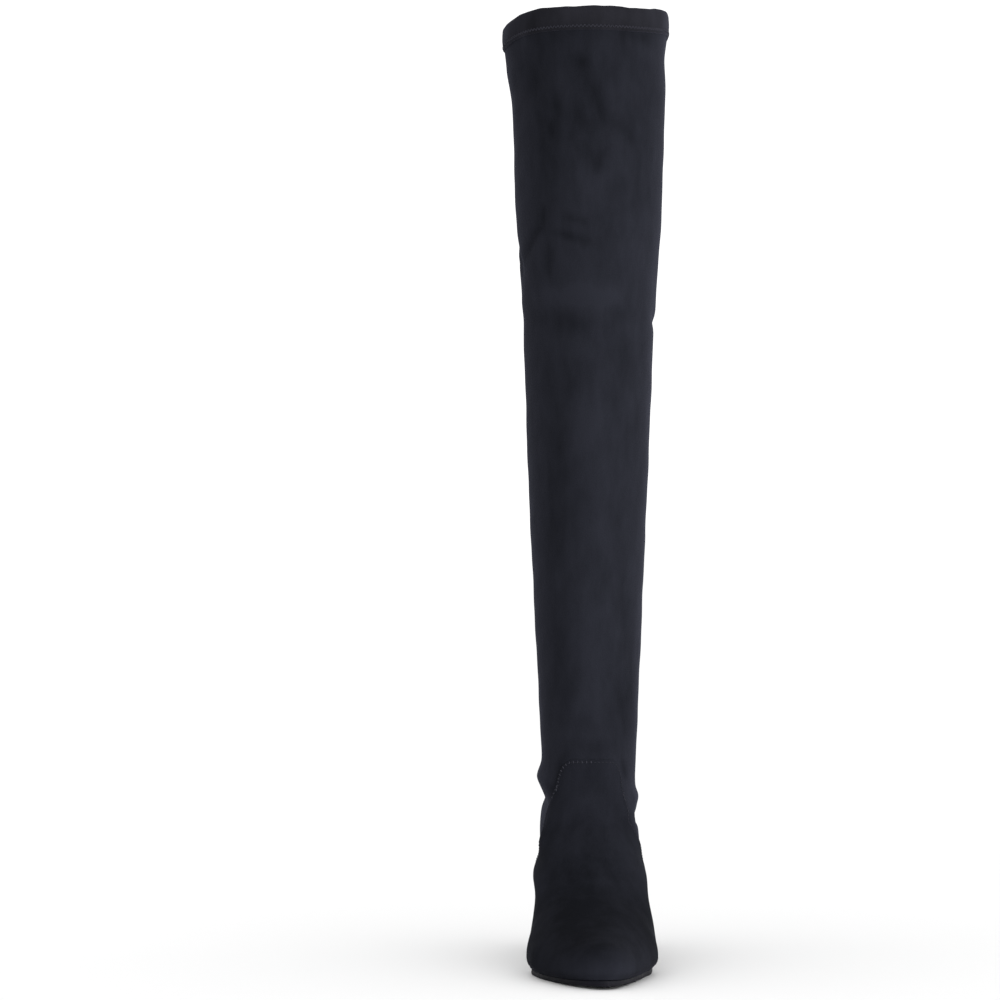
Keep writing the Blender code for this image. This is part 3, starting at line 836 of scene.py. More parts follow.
# The lift left at the folded edge and at the start, as shares of the whole
FOLDED_LIFT = 0.12
STARTING_LIFT = 0.55
# Its grid: columns across, rows of the face and of the underside, and the row of the rounded edge
VAMP_COLUMNS = 169
VAMP_ROWS = 113
UNDERSIDE_ROWS = 29
ROLL_ROW = VAMP_ROWS + 1
# A painted highlight along the rolled edge: how much paler it makes the edge, over how many rows, and
# between which turns of the inner side
EDGE_HIGHLIGHT_TONE = 0.6
EDGE_HIGHLIGHT_ROWS = 3.0
EDGE_HIGHLIGHT_START = 0.18
EDGE_HIGHLIGHT_END = 0.48
# Where the edge runs steeply down the side, what lies beside it is carried down this many times
# as far at most.
STEEPEST_EDGE = 4.0


def vamp_edge_level(turn):
    """The level of the vamp panel's edge at each turn."""
    height = np.where(turn < 0, INNER_VAMP_EDGE(-turn), OUTER_VAMP_EDGE(turn))
    return level_at(height * MM, turn)


def beside_edge(edge, turn, distance):
    """The level of a line that runs beside the vamp's edge, at a distance square to it."""
    small = 2e-4
    places = skin(edge, turn)
    down = skin(edge - small, turn) - places
    down /= np.linalg.norm(down, axis=-1, keepdims=True)
    along = np.gradient(places, axis=0)
    along /= np.linalg.norm(along, axis=-1, keepdims=True)
    squareness = np.linalg.norm(np.cross(down, along), axis=-1)
    return lower(edge, turn, distance * np.minimum(1 / squareness, STEEPEST_EDGE))


def build_vamp(finish):
    """The panel over the forefoot and instep, its edge folded under and stitched down."""
    turns = column_turns(VAMP_COLUMNS, -VAMP_REACH, VAMP_REACH)
    edge = vamp_edge_level(turns)
    under_roll = beside_edge(edge, turns, EDGE_ROLL)

    def rows_to(shares, lift):
        """Rows between the sole and the roll of the edge, closer together near the edge."""
        crowded = [share + 0.35 * share * (1 - share) for share in shares]
        return [(VAMP_START + (under_roll - VAMP_START) * share, lift) for share in crowded]

    section = rows_to(np.linspace(0.0, 1.0, VAMP_ROWS), VAMP_LIFT)
    for angle in np.radians([22, 45, 68, 90, 120]):
        lift = VAMP_LIFT * (FOLDED_LIFT + (1 - FOLDED_LIFT) * max(math.cos(angle), 0.0))
        section.append((beside_edge(edge, turns, EDGE_ROLL * (1 - math.sin(angle))), lift))
    section += rows_to(np.linspace(1.0, 0.0, UNDERSIDE_ROWS), VAMP_UNDERSIDE)
    rows = np.array([level for level, lift in section])
    lifts = np.array([lift for level, lift in section])
    lifts[0] *= STARTING_LIFT
    points = boot_skin(rows, turns, lifts[:, None])
    faces = tube_faces(len(rows), len(turns))
    made = add_piece("vamp_panel_suede", points, faces, [finish], "vamp_panel")
    # a painted highlight along the inner side of the rolled edge, over the painted light and shade
    rim = bell(np.arange(len(rows)) - ROLL_ROW, EDGE_HIGHLIGHT_ROWS)
    rubbed = ease((-turns - EDGE_HIGHLIGHT_START) / 0.08) * ease((EDGE_HIGHLIGHT_END + turns) / 0.05)
    keep_light_and_nap(made, light_and_nap_tone(rows, turns) + EDGE_HIGHLIGHT_TONE * rim[:, None] * rubbed[None, :])
    tidy_shell(made)
    return made


# The hem's section: height over the collar's edge and lift off the skin, in millimetres.
HemPoint = namedtuple("HemPoint", "height lift")
HEM_SECTION = [HemPoint(*point) for point in (
    # the outer face with the groove that the stitches pull, then the rounded top
    (-15.9, 0.05), (-16.1, 0.35), (-15.7, 0.72), (-15.0, 0.92), (-14.2, 0.88), (-13.4, 0.76),
    (-12.6, 0.92), (-8.8, 1.12), (-6.5, 1.18), (-4.0, 1.15), (-2.0, 1.10), (-0.8, 0.95), (0.1, 0.55),
    (0.6, -0.10), (0.8, -0.90), (0.6, -1.70), (0.1, -2.35),
    # down the inside of the shaft, back up along its wall and over the wall's edge
    (-0.8, -2.75), (-2.2, -2.95), (-6.0, -3.00), (-12.2, -2.90), (-13.4, -2.70), (-14.6, -2.90),
    (-15.8, -2.70), (-16.1, -2.30), (-15.8, -2.00), (-7.0, -2.00), (-0.4, -1.95), (-0.1, -0.90),
    (-0.4, 0.10), (-7.0, 0.10),
)]
ZIGZAG_LINE = -13.4
HEM_COLUMNS = 289


def build_hem(finish):
    """The band where the shaft's edge is folded over and stitched."""
    turns = column_turns(HEM_COLUMNS)[:-1]
    heights = np.array([point.height for point in HEM_SECTION])
    # the stitching draws the top up and down, and the band in and out, in waves round the collar
    pucker = 0.30 * np.sin(turns * 23 + 0.4) + 0.14 * np.sin(turns * 61 + 1.9) + 0.06 * np.sin(turns * 113)
    stretch = 1 + 0.05 * np.sin(turns * 61 + 0.7) + 0.04 * np.sin(turns * 37 + 2.1)
    near_top = ease((heights + 8.0) / 6.0)
    levels = 3 + (heights[:, None] + near_top[:, None] * pucker[None, :]) * MM / SHAFT_LENGTH
    lifts = np.array([point.lift * MM for point in HEM_SECTION])[:, None]
    lifts = np.where(lifts > 0.3 * MM, lifts * stretch[None, :], lifts)
    points = boot_skin(levels, turns[None, :], lifts)
    faces = strip_faces(len(levels), len(turns), True, True)
    made = add_piece("collar_hem_suede", points, faces, [finish], "collar_hem")
    # painted light and shade on the hem
    keep_light_and_nap(made, light_and_nap_tone(levels, turns[None, :]))
    return made


# Sole and heel


# How far the first and the last station of a sheet are in from its ends, where it has no width
PLANK_TRIM = 0.00004


def plank(name, bottom, top, grow, roll, finish, node, slot, stations=141):
    """A sheet with the foot's outline, whose surfaces follow the sole and whose edge is rounded."""
    back = heel_back(0.0) - grow
    front = toe_tip(0.0) + grow
    share = (1 - np.cos(np.linspace(0, math.pi, stations))) / 2
    along = back + PLANK_TRIM + (front - back - 2 * PLANK_TRIM) * share
    inner = foot_side(along, 0.0, False, front, back, grow)
    outer = foot_side(along, 0.0, True, front, back, grow)
    low, high = bottom(along), top(along)
    rows = []
    across = [0.0, 0.12, 0.3, 0.5, 0.7, 0.88, 1.0]
    angles = np.radians([0, 30, 60, 90])
    width = outer - inner
    round_in = np.minimum(roll, width / 4)
    for share in across:
        rows.append((inner + round_in + (width - 2 * round_in) * share, low))
    for angle in angles[1:]:
        rows.append((outer - round_in * (1 - math.sin(angle)), low + roll * (1 - math.cos(angle))))
    for angle in angles:
        rows.append((outer - round_in * (1 - math.cos(angle)), high - roll * (1 - math.sin(angle))))
    for share in reversed(across[:-1]):
        rows.append((inner + round_in + (width - 2 * round_in) * share, high))
    for angle in angles[1:]:
        rows.append((inner + round_in * (1 - math.sin(angle)), high - roll * (1 - math.cos(angle))))
    for angle in angles[:-1]:
        rows.append((inner + round_in * (1 - math.cos(angle)), low + roll * (1 - math.sin(angle))))
    points = np.array([placed(side, along, height) for side, height in rows])
    made = add_piece(name, points, tube_faces(len(rows), stations), [finish], node)
    tidy_shell(made, crisp=True)
    return made


# The gap between the outsole and the foot, and the sheet that lies on the foot's seat
OUTSOLE_GAP = 0.0003
OUTSOLE_ROUNDING = 0.0008
INSOLE_LIFT = 0.0002
INSOLE_THICKNESS = 0.0020
INSOLE_MARGIN = -0.0028
INSOLE_ROUNDING = 0.0005


def build_soles(sole_finish, sock_finish):
    """The outsole, and the insole inside the boot."""

    def outsole_top(along):
        return seat_height(along) - OUTSOLE_GAP

    def insole_bottom(along):
        return seat_height(along) + INSOLE_LIFT

    def insole_top(along):
        return seat_height(along) + (INSOLE_LIFT + INSOLE_THICKNESS)

    sole = tread_height, outsole_top, SOLE_MARGIN, OUTSOLE_ROUNDING
    plank("outsole_leather", *sole, sole_finish, "outsole", "sole_leather")
    sock = insole_bottom, insole_top, INSOLE_MARGIN, INSOLE_ROUNDING
    plank("insole_sock", *sock, sock_finish, "insole", "insole_board", stations=101)


HEEL_LENGTH = 0.050
HEEL_WIDTH = 0.054
HEEL_INSET = 0.0005
HEEL_LEAN = 0.4
HEEL_FLARE = 1.6
HEEL_POWER = 2.2
BREAST_POWER = 5.0
TOP_PIECE_LENGTH = 0.041
TOP_PIECE_WIDTH = 0.045
TOP_PIECE_HEIGHT = 0.006
HEEL_DROP = 0.0006
# How far the outline shrinks in metres at shares of the way down, to round the upper and lower rim
HEEL_UPPER_RIM = [(0.0, 0.0010), (0.003, 0.0004), (0.010, 0.0)]
HEEL_LOWER_RIM = [(0.985, 0.0003), (1.0, 0.0009)]
# The top piece's height over the floor and how far its outline shrinks there, in millimetres
TOP_PIECE_SECTION = [(6.0, 0.3), (5.8, 0.0), (1.2, 0.0), (0.5, 0.15), (0.15, 0.45), (0.0, 0.9)]
# The gap between the heel and its top piece
TOP_PIECE_GAP = 0.0003


def heel_outline(length, width, back, shrink=0.0, count=120):
    """Rounded behind, nearly flat at the breast: sideways and along, arrays."""
    angle = np.linspace(0, 2 * math.pi, count, endpoint=False)
    sine, cosine = np.sin(angle), np.cos(angle)
    power = 2 / np.where(cosine > 0, BREAST_POWER, HEEL_POWER)
    across = np.sign(sine) * np.abs(sine) ** power * (width / 2 - shrink)
    forward = np.sign(cosine) * np.abs(cosine) ** power * (length / 2 - shrink)
    return across, back + length / 2 + forward


def stack(name, rings, finish, node):
    """A closed solid through rings of points, from its top down."""
    points = np.array(rings)
    count = points.shape[1]
    faces = [list(face) for face in strip_faces(len(points), count, True, False)]
    faces.append(list(range(count)))
    faces.append([(len(points) - 1) * count + i for i in range(count)])
    made = add_piece(name, points, faces, [finish], node)
    tidy_shell(made, crisp=True)
    return made


def build_heel(suede_finish, rubber_finish):
    """The covered heel and its rubber top piece."""
    back_top = heel_back(0.0) + HEEL_INSET
    back_bottom = back_top + (HEEL_LENGTH - TOP_PIECE_LENGTH) * HEEL_LEAN
    back_height = tread_height(back_top) - HEEL_DROP
    breast_height = tread_height(back_top + HEEL_LENGTH) - HEEL_DROP
    bottom = TOP_PIECE_HEIGHT + TOP_PIECE_GAP
    between = [(step, 0.0) for step in np.linspace(0.03, 0.96, 26)]
    rings = []
    for step, shrink in HEEL_UPPER_RIM + between + HEEL_LOWER_RIM:
        taper = 1 - (1 - step) ** HEEL_FLARE
        length = HEEL_LENGTH + (TOP_PIECE_LENGTH - HEEL_LENGTH) * taper
        width = HEEL_WIDTH + (TOP_PIECE_WIDTH - HEEL_WIDTH) * taper
        side, along = heel_outline(length, width, back_top + (back_bottom - back_top) * taper, shrink)
        top = back_height + (breast_height - back_height) * (along - back_top) / HEEL_LENGTH
        rings.append(placed(side, along, (1 - step) * top + step * bottom))
    stack("heel_cover_suede", rings, suede_finish, "heel_block")
    rings = []
    for height, shrink in TOP_PIECE_SECTION:
        side, along = heel_outline(TOP_PIECE_LENGTH, TOP_PIECE_WIDTH, back_bottom, shrink * MM)
        rings.append(placed(side, along, np.full_like(side, height * MM)))
    stack("top_piece_rubber", rings, rubber_finish, "top_piece")


# Nodes


def add_node(tree, kind, inputs=None, **settings):
    """Adds a node. inputs gives values, sockets, or nodes for their first output, by the names or
    places of its own sockets."""
    made = tree.nodes.new(kind)
    for key, value in settings.items():
        setattr(made, key, value)
    for key, value in (inputs or {}).items():
        if isinstance(value, bpy.types.Node):
            value = value.outputs[0]
        if isinstance(value, bpy.types.NodeSocket):
            tree.links.new(value, made.inputs[key])
        else:
            made.inputs[key].default_value = value
    return made


def calculate(tree, operation, *values, clamp=False):
    """A piece of arithmetic on values, sockets or nodes."""
    return add_node(tree, "ShaderNodeMath", dict(enumerate(values)), operation=operation, use_clamp=clamp)


# A row of stitches: the step along its path, the length and radius of a stitch, and how far it is
# turned off the path. The stitch tree has an input for each, in this order.
Stitches = namedtuple("Stitches", "pitch length radius slant")
STITCH_INPUTS = ("Pitch", "Stitch Length", "Thread Radius", "Slant")


def stitch_tree():
    """Stitches set at even steps along a path, each turned off the path by its slant to either side."""
    tree = bpy.data.node_groups.new("stitches_on_path", "GeometryNodeTree")
    face = tree.interface
    face.new_socket("Path", in_out="INPUT", socket_type="NodeSocketGeometry")
    for name in STITCH_INPUTS:
        face.new_socket(name, in_out="INPUT", socket_type="NodeSocketFloat")
    face.new_socket("Thread", in_out="INPUT", socket_type="NodeSocketMaterial")
    face.new_socket("Stitches", in_out="OUTPUT", socket_type="NodeSocketGeometry")
    given = add_node(tree, "NodeGroupInput").outputs
    curve = add_node(tree, "GeometryNodeMeshToCurve", {"Mesh": given["Path"]})
    cut = {"Curve": curve, "Length": given["Pitch"]}
    steps = add_node(tree, "GeometryNodeResampleCurve", cut, mode="LENGTH")
    ball = add_node(tree, "GeometryNodeMeshUVSphere", {"Segments": 8, "Rings": 6, "Radius": 1.0})
    half = calculate(tree, "DIVIDE", given["Stitch Length"], 2.0)
    reaches = {0: half, 1: given["Thread Radius"], 2: given["Thread Radius"]}
    size = add_node(tree, "ShaderNodeCombineXYZ", reaches)
    stitch = add_node(tree, "GeometryNodeTransform", {"Geometry": ball, "Scale": size})
    tangent = add_node(tree, "GeometryNodeInputTangent")
    skin_normal = {"Name": "skin_normal"}
    normal = add_node(tree, "GeometryNodeInputNamedAttribute", skin_normal, data_type="FLOAT_VECTOR")
    axes = {0: normal, 1: tangent}
    lie = add_node(tree, "FunctionNodeAxesToRotation", axes, primary_axis="Z", secondary_axis="X")
    number = add_node(tree, "GeometryNodeInputIndex")
    odd = calculate(tree, "MODULO", number, 2.0)
    way = calculate(tree, "MULTIPLY_ADD", odd, -2.0, 1.0)
    swing = add_node(tree, "ShaderNodeCombineXYZ", {2: calculate(tree, "MULTIPLY", way, given["Slant"])})
    turned = add_node(tree, "FunctionNodeRotateRotation", {0: lie, 1: swing}, rotation_space="LOCAL")
    parts = {"Points": steps, "Instance": stitch, "Rotation": turned}
    placed_stitches = add_node(tree, "GeometryNodeInstanceOnPoints", parts)
    real = add_node(tree, "GeometryNodeRealizeInstances", {"Geometry": placed_stitches})
    smooth = add_node(tree, "GeometryNodeSetShadeSmooth", {"Geometry": real})
    looks = {"Geometry": smooth, "Material": given["Thread"]}
    painted = add_node(tree, "GeometryNodeSetMaterial", looks)
    add_node(tree, "NodeGroupOutput", {"Stitches": painted})
    return tree


def sew(name, level, turns, lift, tree, stitches, finish, slot, closed=False):
    """Runs the stitch tree along a path on the skin and keeps the result as one plain mesh."""
    places = boot_skin(level, turns, lift)
    count = len(places)
    edges = [(i, (i + 1) % count) for i in range(count if closed else count - 1)]
    mesh = bpy.data.meshes.new(name + "_path")
    mesh.from_pydata(places.tolist(), edges, [])
    spot = mesh.attributes.new("skin_normal", "FLOAT_VECTOR", "POINT")
    spot.data.foreach_set("vector", outward(level, turns).astype(np.float32).ravel())
    path = bpy.data.objects.new(name + "_path", mesh)
    bpy.context.scene.collection.objects.link(path)
    maker = path.modifiers.new("stitches", "NODES")
    maker.node_group = tree
    sockets = {item.name: item.identifier for item in tree.interface.items_tree if item.in_out == "INPUT"}
    for key, value in zip(STITCH_INPUTS, stitches):
        maker[sockets[key]] = value
    maker[sockets["Thread"]] = finish
    bpy.context.view_layer.update()
    result = bpy.data.meshes.new_from_object(path.evaluated_get(bpy.context.evaluated_depsgraph_get()))
    result.name = name
    if not result.materials:
        result.materials.append(finish)
    made = bpy.data.objects.new(name, result)
    bpy.context.scene.collection.objects.link(made)
    bpy.data.objects.remove(path)
    settle(made, None)
    return made


# How far the middle of a thread is off the shaft, the collar's edge and the vamp's skin
THREAD_LIFT = 0.05 * MM
ZIGZAG_LIFT = 1.0 * MM
EDGE_LIFT = VAMP_LIFT + THREAD_LIFT
OVERCAST_LIFT = VAMP_LIFT + 3 * THREAD_LIFT
# The radius of a thread that is pulled into the nap, and of one that lies loosely, in thread widths
SUNK_RADIUS = 0.55
LOOSE_RADIUS = 0.8
# How much of its step a straight stitch covers
STITCH_SHARE = 0.82
# The slanted stitch over the vamp's edge and beside the back seam: its length, and how far it is
# turned off its row
SLANTED_LENGTH = 2.2 * MM
SLANTED_TURN = math.radians(80)
# The turns between which the vamp's edge is stitched, and hand stitched over its inner corner
EDGE_REACH = 0.68
OVERCAST_START = -0.27
OVERCAST_END = -0.012
OVERCAST_MARGIN = 1.7 * MM
# The rows beside the back seam: how far from it in millimetres, and between which heights
SEAM_ROW = 2.6
SEAM_ROW_BOTTOM = 0.062
SEAM_ROW_TOP = 0.648


def build_stitches(thread, pale_thread):
    """The zigzag round the collar, the line and the hand stitches along the vamp's edge, and the two
    rows beside the back seam."""
    sizes = bpy.context.scene.boot_sizes
    tree = stitch_tree()
    width, half_pitch = sizes.zigzag_width, sizes.zigzag_pitch / 2
    length, slant = math.hypot(width, half_pitch), math.atan2(width, half_pitch)
    zigzag = Stitches(half_pitch, length, sizes.thread_width * SUNK_RADIUS, slant)
    straight = Stitches(sizes.edge_pitch, sizes.edge_pitch * STITCH_SHARE, sizes.thread_width / 2, 0.0)
    loose = sizes.thread_width * LOOSE_RADIUS
    slanted = Stitches(sizes.overcast_pitch, SLANTED_LENGTH, loose, SLANTED_TURN)
    turns = np.linspace(-1, 1, 721)[:-1]
    level = np.full_like(turns, 3 + ZIGZAG_LINE * MM / SHAFT_LENGTH)
    hem = tree, zigzag, pale_thread, "hem_suede"
    sew("collar_zigzag_thread", level, turns, ZIGZAG_LIFT, *hem, closed=True)
    turns = np.linspace(-EDGE_REACH, EDGE_REACH, 601)
    level = beside_edge(vamp_edge_level(turns), turns, sizes.edge_margin)
    sew("vamp_edge_thread", level, turns, EDGE_LIFT, tree, straight, thread, "vamp_suede")
    turns = np.linspace(OVERCAST_START, OVERCAST_END, 200)
    level = beside_edge(vamp_edge_level(turns), turns, OVERCAST_MARGIN)
    sew("vamp_overcast_thread", level, turns, OVERCAST_LIFT, tree, slanted, pale_thread, "vamp_suede")
    heights = np.linspace(SEAM_ROW_BOTTOM, SEAM_ROW_TOP, 500)
    for name, sign in (("inner", -1), ("outer", 1)):
        turns = sign * (1 - SEAM_ROW / half_girth(heights / MM))
        level = level_at(heights, turns)
        sew(f"back_seam_{name}_thread", level, turns, THREAD_LIFT, tree, slanted, thread, "shaft_suede")


# Materials


def linear(code, times=1.0):
    """A hex colour as Blender's linear values, made so many times as bright."""
    channels = [int(code.lstrip("#")[i : i + 2], 16) / 255 for i in (0, 2, 4)]
    return tuple(times * (c / 12.92 if c <= 0.04045 else ((c + 0.055) / 1.055) ** 2.4) for c in channels)


def start_material(name):
    """An empty material, its tree and the place on the object."""
    made = bpy.data.materials.new(name)
    made.use_nodes = True
    tree = made.node_tree
    tree.nodes.clear()
    return made, tree, add_node(tree, "ShaderNodeTexCoord").outputs["Object"]


def shade(tree, colour, roughness, gloss, more=None):
    """Ends a material's tree with its shader, which also takes the inputs in more."""
    inputs = {"Base Color": colour, "Roughness": roughness, "Specular IOR Level": gloss, **(more or {})}
    shader = add_node(tree, "ShaderNodeBsdfPrincipled", inputs)
    add_node(tree, "ShaderNodeOutputMaterial", {"Surface": shader})


def noise(tree, place, size_mm, detail, stretch=(1.0, 1.0, 1.0)):
    """A noise whose lumps have a real size, drawn out along the axes by stretch."""
    mapped = add_node(tree, "ShaderNodeMapping", {"Vector": place, "Scale": [1 / s for s in stretch]})
    lumps = {"Vector": mapped, "Scale": 1000 / size_mm, "Detail": detail, "Roughness": 0.55}
    return add_node(tree, "ShaderNodeTexNoise", lumps).outputs["Fac"]


def blend(tree, share, dark, light):
    """From one linear colour to another, with share."""
    ends = {0: share, 6: (*dark, 1), 7: (*light, 1)}
    return add_node(tree, "ShaderNodeMix", ends, data_type="RGBA").outputs[2]


def rescale(tree, value, low, high, new_low, new_high):
    """Brings the range of a value to another one."""
    ends = {"Value": value, "From Min": low, "From Max": high, "To Min": new_low, "To Max": new_high}
    return add_node(tree, "ShaderNodeMapRange", ends)


def bump(tree, height, strength, depth, more=None):
    """Relief as deep as depth in metres."""
    inputs = {"Height": height, "Strength": strength, "Distance": depth, **(more or {})}
    return add_node(tree, "ShaderNodeBump", inputs)


# How the raised nap catches light at a slant: how much, and how far in from the outline.
# The vamp's nap is pressed flat.
Sheen = namedtuple("Sheen", "weight spread")
SHAFT_SHEEN = Sheen(0.15, 0.40)
VAMP_SHEEN = Sheen(0.09, 0.18)
SHEEN_TINT = "#8c8ea6"

# How much the fibres count beside the wider noises of the nap, and the range that all three span
FIBRE_SHARE = 0.55
NAP_LOW = 0.56
NAP_HIGH = 1.98


def suede(name, dark, light, sheen, takes_painted_light):
    """Brushed microfibre suede on a stretch backing. The nap stands up in soft fibres, so it takes
    no gloss, goes paler where it is seen at a slant, and is mottled. Where it takes painted light, it
    also carries the painted light and shade kept on the skin."""
    made, tree, place = start_material(name)
    cloud = noise(tree, place, 30, 1.0, (1.0, 1.0, 2.2))
    stroked = noise(tree, place, 9, 2.0, (1.0, 1.0, 2.4))
    # real fibres are 0.02 mm thick; the clumps they make are drawn at 0.9 mm so that they show
    fibre = noise(tree, place, 0.9, 2.0)
    wide = calculate(tree, "ADD", cloud, stroked)
    all_three = calculate(tree, "MULTIPLY_ADD", fibre, FIBRE_SHARE, wide)
    share = rescale(tree, all_three, NAP_LOW, NAP_HIGH, 0.0, 1.0)
    if takes_painted_light:
        # painted light and shade kept on the skin, added to the mottling
        tone = add_node(tree, "ShaderNodeAttribute", attribute_name="nap").outputs["Fac"]
        share = calculate(tree, "ADD", tone, share, clamp=True)
    colour = blend(tree, share, linear(dark), linear(light))
    fibres = bump(tree, fibre, 0.35, 0.0004)
    relief = bump(tree, stroked, 0.25, 0.0010, {"Normal": fibres})
    lit = {"Sheen Weight": sheen.weight, "Sheen Roughness": sheen.spread}
    shade(tree, colour, 0.95, 0.03, {"Normal": relief, "Sheen Tint": (*linear(SHEEN_TINT), 1), **lit})
    return made


def knit_lining(name, colour):
    """Fine warp knit glued inside the suede: matt, with small ribs a millimetre apart."""
    made, tree, place = start_material(name)
    knit = {"Vector": place, "Scale": 250.0, "Distortion": 1.5, "Detail": 2.0}
    ribs = add_node(tree, "ShaderNodeTexWave", knit, bands_direction="Z").outputs["Fac"]
    mixed = blend(tree, noise(tree, place, 9, 2.0), linear(colour), linear(colour, 1.5))
    shade(tree, mixed, 0.85, 0.08, {"Normal": bump(tree, ribs, 0.3, 0.0003)})
    return made


def sole_resin(name, colour, pale):
    """Thin moulded sole unit, buffed at its edge: half matt, with fine scuffs along the foot."""
    made, tree, place = start_material(name)
    scuffs = noise(tree, place, 1.6, 4.0, (1.0, 6.0, 1.0))
    share = calculate(tree, "MULTIPLY", scuffs, noise(tree, place, 12, 2.0))
    mixed = blend(tree, share, linear(colour), linear(pale))
    rough = rescale(tree, scuffs, 0.3, 0.7, 0.38, 0.62)
    shade(tree, mixed, rough, 0.05, {"Normal": bump(tree, scuffs, 0.15, 0.0002)})
    return made


def rubber(name, colour):
    """Moulded rubber lift: matt, with a fine grainy skin from its mould."""
    made, tree, place = start_material(name)
    grain = noise(tree, place, 0.7, 3.0)
    mixed = blend(tree, grain, linear(colour), linear(colour, 1.8))
    shade(tree, mixed, 0.72, 0.25, {"Normal": bump(tree, grain, 0.3, 0.0002)})
    return made


def sewing_thread(name, colour):
    """Twisted polyester thread: a little silkier than the nap it lies on."""
    made, tree, place = start_material(name)
    twist = noise(tree, place, 0.5, 1.0)
    shade(tree, blend(tree, twist, linear(colour, 0.7), linear(colour, 1.3)), 0.7, 0.08)
    return made


def studio_white(name):
    """Smooth matt studio ground, bright enough to print white, with a faint unevenness."""
    made, tree, place = start_material(name)
    cloud = noise(tree, place, 400, 2.0)
    shade(tree, blend(tree, cloud, (0.89, 0.89, 0.89), (0.91, 0.91, 0.91)), 0.9, 0.0)
    return made


# Stage

# The camera, in metres and radians: how far it is turned to the inner side, its distance from the
# shaft's axis, its height, and the width that it sees there
CAMERA_AZIMUTH = math.radians(-4.0)
CAMERA_DISTANCE = 2.4
CAMERA_HEIGHT = 0.3255
FRAME_WIDTH = 0.72
SENSOR_WIDTH = 36.0
# The picture's side and the column of the shaft's axis in it, in pixels
IMAGE_SIZE = 1000
BOOT_COLUMN = 588.5
# How far along the foot the shaft's axis is
SHAFT_AXIS = 0.0525

# Half the side of the ground, in metres
FLOOR_REACH = 30.0
# The height that the lights aim at
AIM_HEIGHT = 0.33
# The soft boxes: their place from the foot of the shaft's axis, their side, and their share of the
# key's power
SoftBox = namedtuple("SoftBox", "name place side power")
SOFT_BOXES = [
    SoftBox("front_right", (1.1, -2.9, 0.22), 1.0, 1.00),
    SoftBox("side_right", (2.3, -0.7, 0.30), 0.8, 0.30),
]


def add_light(name, place, aim, size, power, floor):
    """A square soft box that looks at a point. Flags keep its light off the floor."""
    lamp = bpy.data.lights.new(name, "AREA")
    lamp.shape = "SQUARE"
    lamp.size = size
    lamp.energy = power
    made = bpy.data.objects.new(name, lamp)
    made.location = place
    made.rotation_euler = (Vector(aim) - Vector(place)).to_track_quat("-Z", "Y").to_euler()
    bpy.context.scene.collection.objects.link(made)
    flagged = bpy.data.collections.new(name + "_flags")
    flagged.objects.link(floor)
    made.light_linking.receiver_collection = flagged
    flagged.collection_objects[0].light_linking.link_state = "EXCLUDE"


def build_stage():
    """White ground, a white surround, soft boxes and the camera."""
    scene = bpy.context.scene
    sizes = scene.boot_sizes
    world = bpy.data.worlds.new("white_surround")
    world.use_nodes = True
    background = world.node_tree.nodes["Background"].inputs
    background["Color"].default_value = (1.0, 1.0, 1.0, 1.0)
    background["Strength"].default_value = sizes.surround
    scene.world = world
    scene.view_settings.view_transform = "Standard"
    mesh = bpy.data.meshes.new("studio_floor")
    corners = [(x * FLOOR_REACH, y * FLOOR_REACH, 0) for x, y in ((-1, -1), (1, -1), (1, 1), (-1, 1))]
    mesh.from_pydata(corners, [], [(0, 1, 2, 3)])
    mesh.materials.append(studio_white("studio_white"))
    floor = bpy.data.objects.new("studio_floor", mesh)
    scene.collection.objects.link(floor)
    axis = Vector((0.0, ORIGIN_ALONG - SHAFT_AXIS, 0.0))
    aim = axis + Vector((0, 0, AIM_HEIGHT))
    for box in SOFT_BOXES:
        add_light(box.name, axis + Vector(box.place), aim, box.side, sizes.key_power * box.power, floor)
    lens = bpy.data.cameras.new("photo_camera")
    lens.sensor_width = SENSOR_WIDTH
    lens.lens = SENSOR_WIDTH * CAMERA_DISTANCE / FRAME_WIDTH
    camera = bpy.data.objects.new("photo_camera", lens)
    back = Vector((math.sin(CAMERA_AZIMUTH), -math.cos(CAMERA_AZIMUTH), 0.0))
    camera.location = axis + back * CAMERA_DISTANCE + Vector((0, 0, CAMERA_HEIGHT))
    off_centre = (BOOT_COLUMN - IMAGE_SIZE / 2) * FRAME_WIDTH / IMAGE_SIZE
    swing = CAMERA_AZIMUTH + math.atan2(off_centre, CAMERA_DISTANCE)
    camera.rotation_euler = (math.pi / 2, 0.0, swing)
    scene.collection.objects.link(camera)
    scene.camera = camera


# Settings


class BootSizes(bpy.types.PropertyGroup):
    """Sizes and amounts that a user would change."""

    fold_strength: FloatProperty(
        name="Fold Strength", description="How deep the folds and creases are", default=1.0, min=0.0, max=2.0
    )
    zigzag_pitch: FloatProperty(
        name="Zigzag Pitch", description="Length of one full zigzag", default=2.8 * MM, unit="LENGTH"
    )
    zigzag_width: FloatProperty(
        name="Zigzag Width", description="Width of the zigzag", default=2.2 * MM, unit="LENGTH"
    )
    edge_pitch: FloatProperty(
        name="Edge Pitch", description="Step of the straight stitches", default=2.8 * MM, unit="LENGTH"
    )
    overcast_pitch: FloatProperty(
        name="Overcast Pitch",
        description="Step of the slanted stitches over the edge and beside the back seam",
        default=3.1 * MM,
        unit="LENGTH",
    )
    edge_margin: FloatProperty(
        name="Edge Margin",
        description="From the vamp's edge to its stitches",
        default=1.9 * MM,
        unit="LENGTH",
    )
    thread_width: FloatProperty(
        name="Thread Width", description="Thickness of the sewing thread", default=0.55 * MM, unit="LENGTH"
    )
    surround: FloatProperty(
        name="Surround", description="Brightness of the white surround", default=1.16, min=0.0
    )
    key_power: FloatProperty(
        name="Key Power", description="Power of the main soft box", default=125.0, min=0.0, unit="POWER"
    )


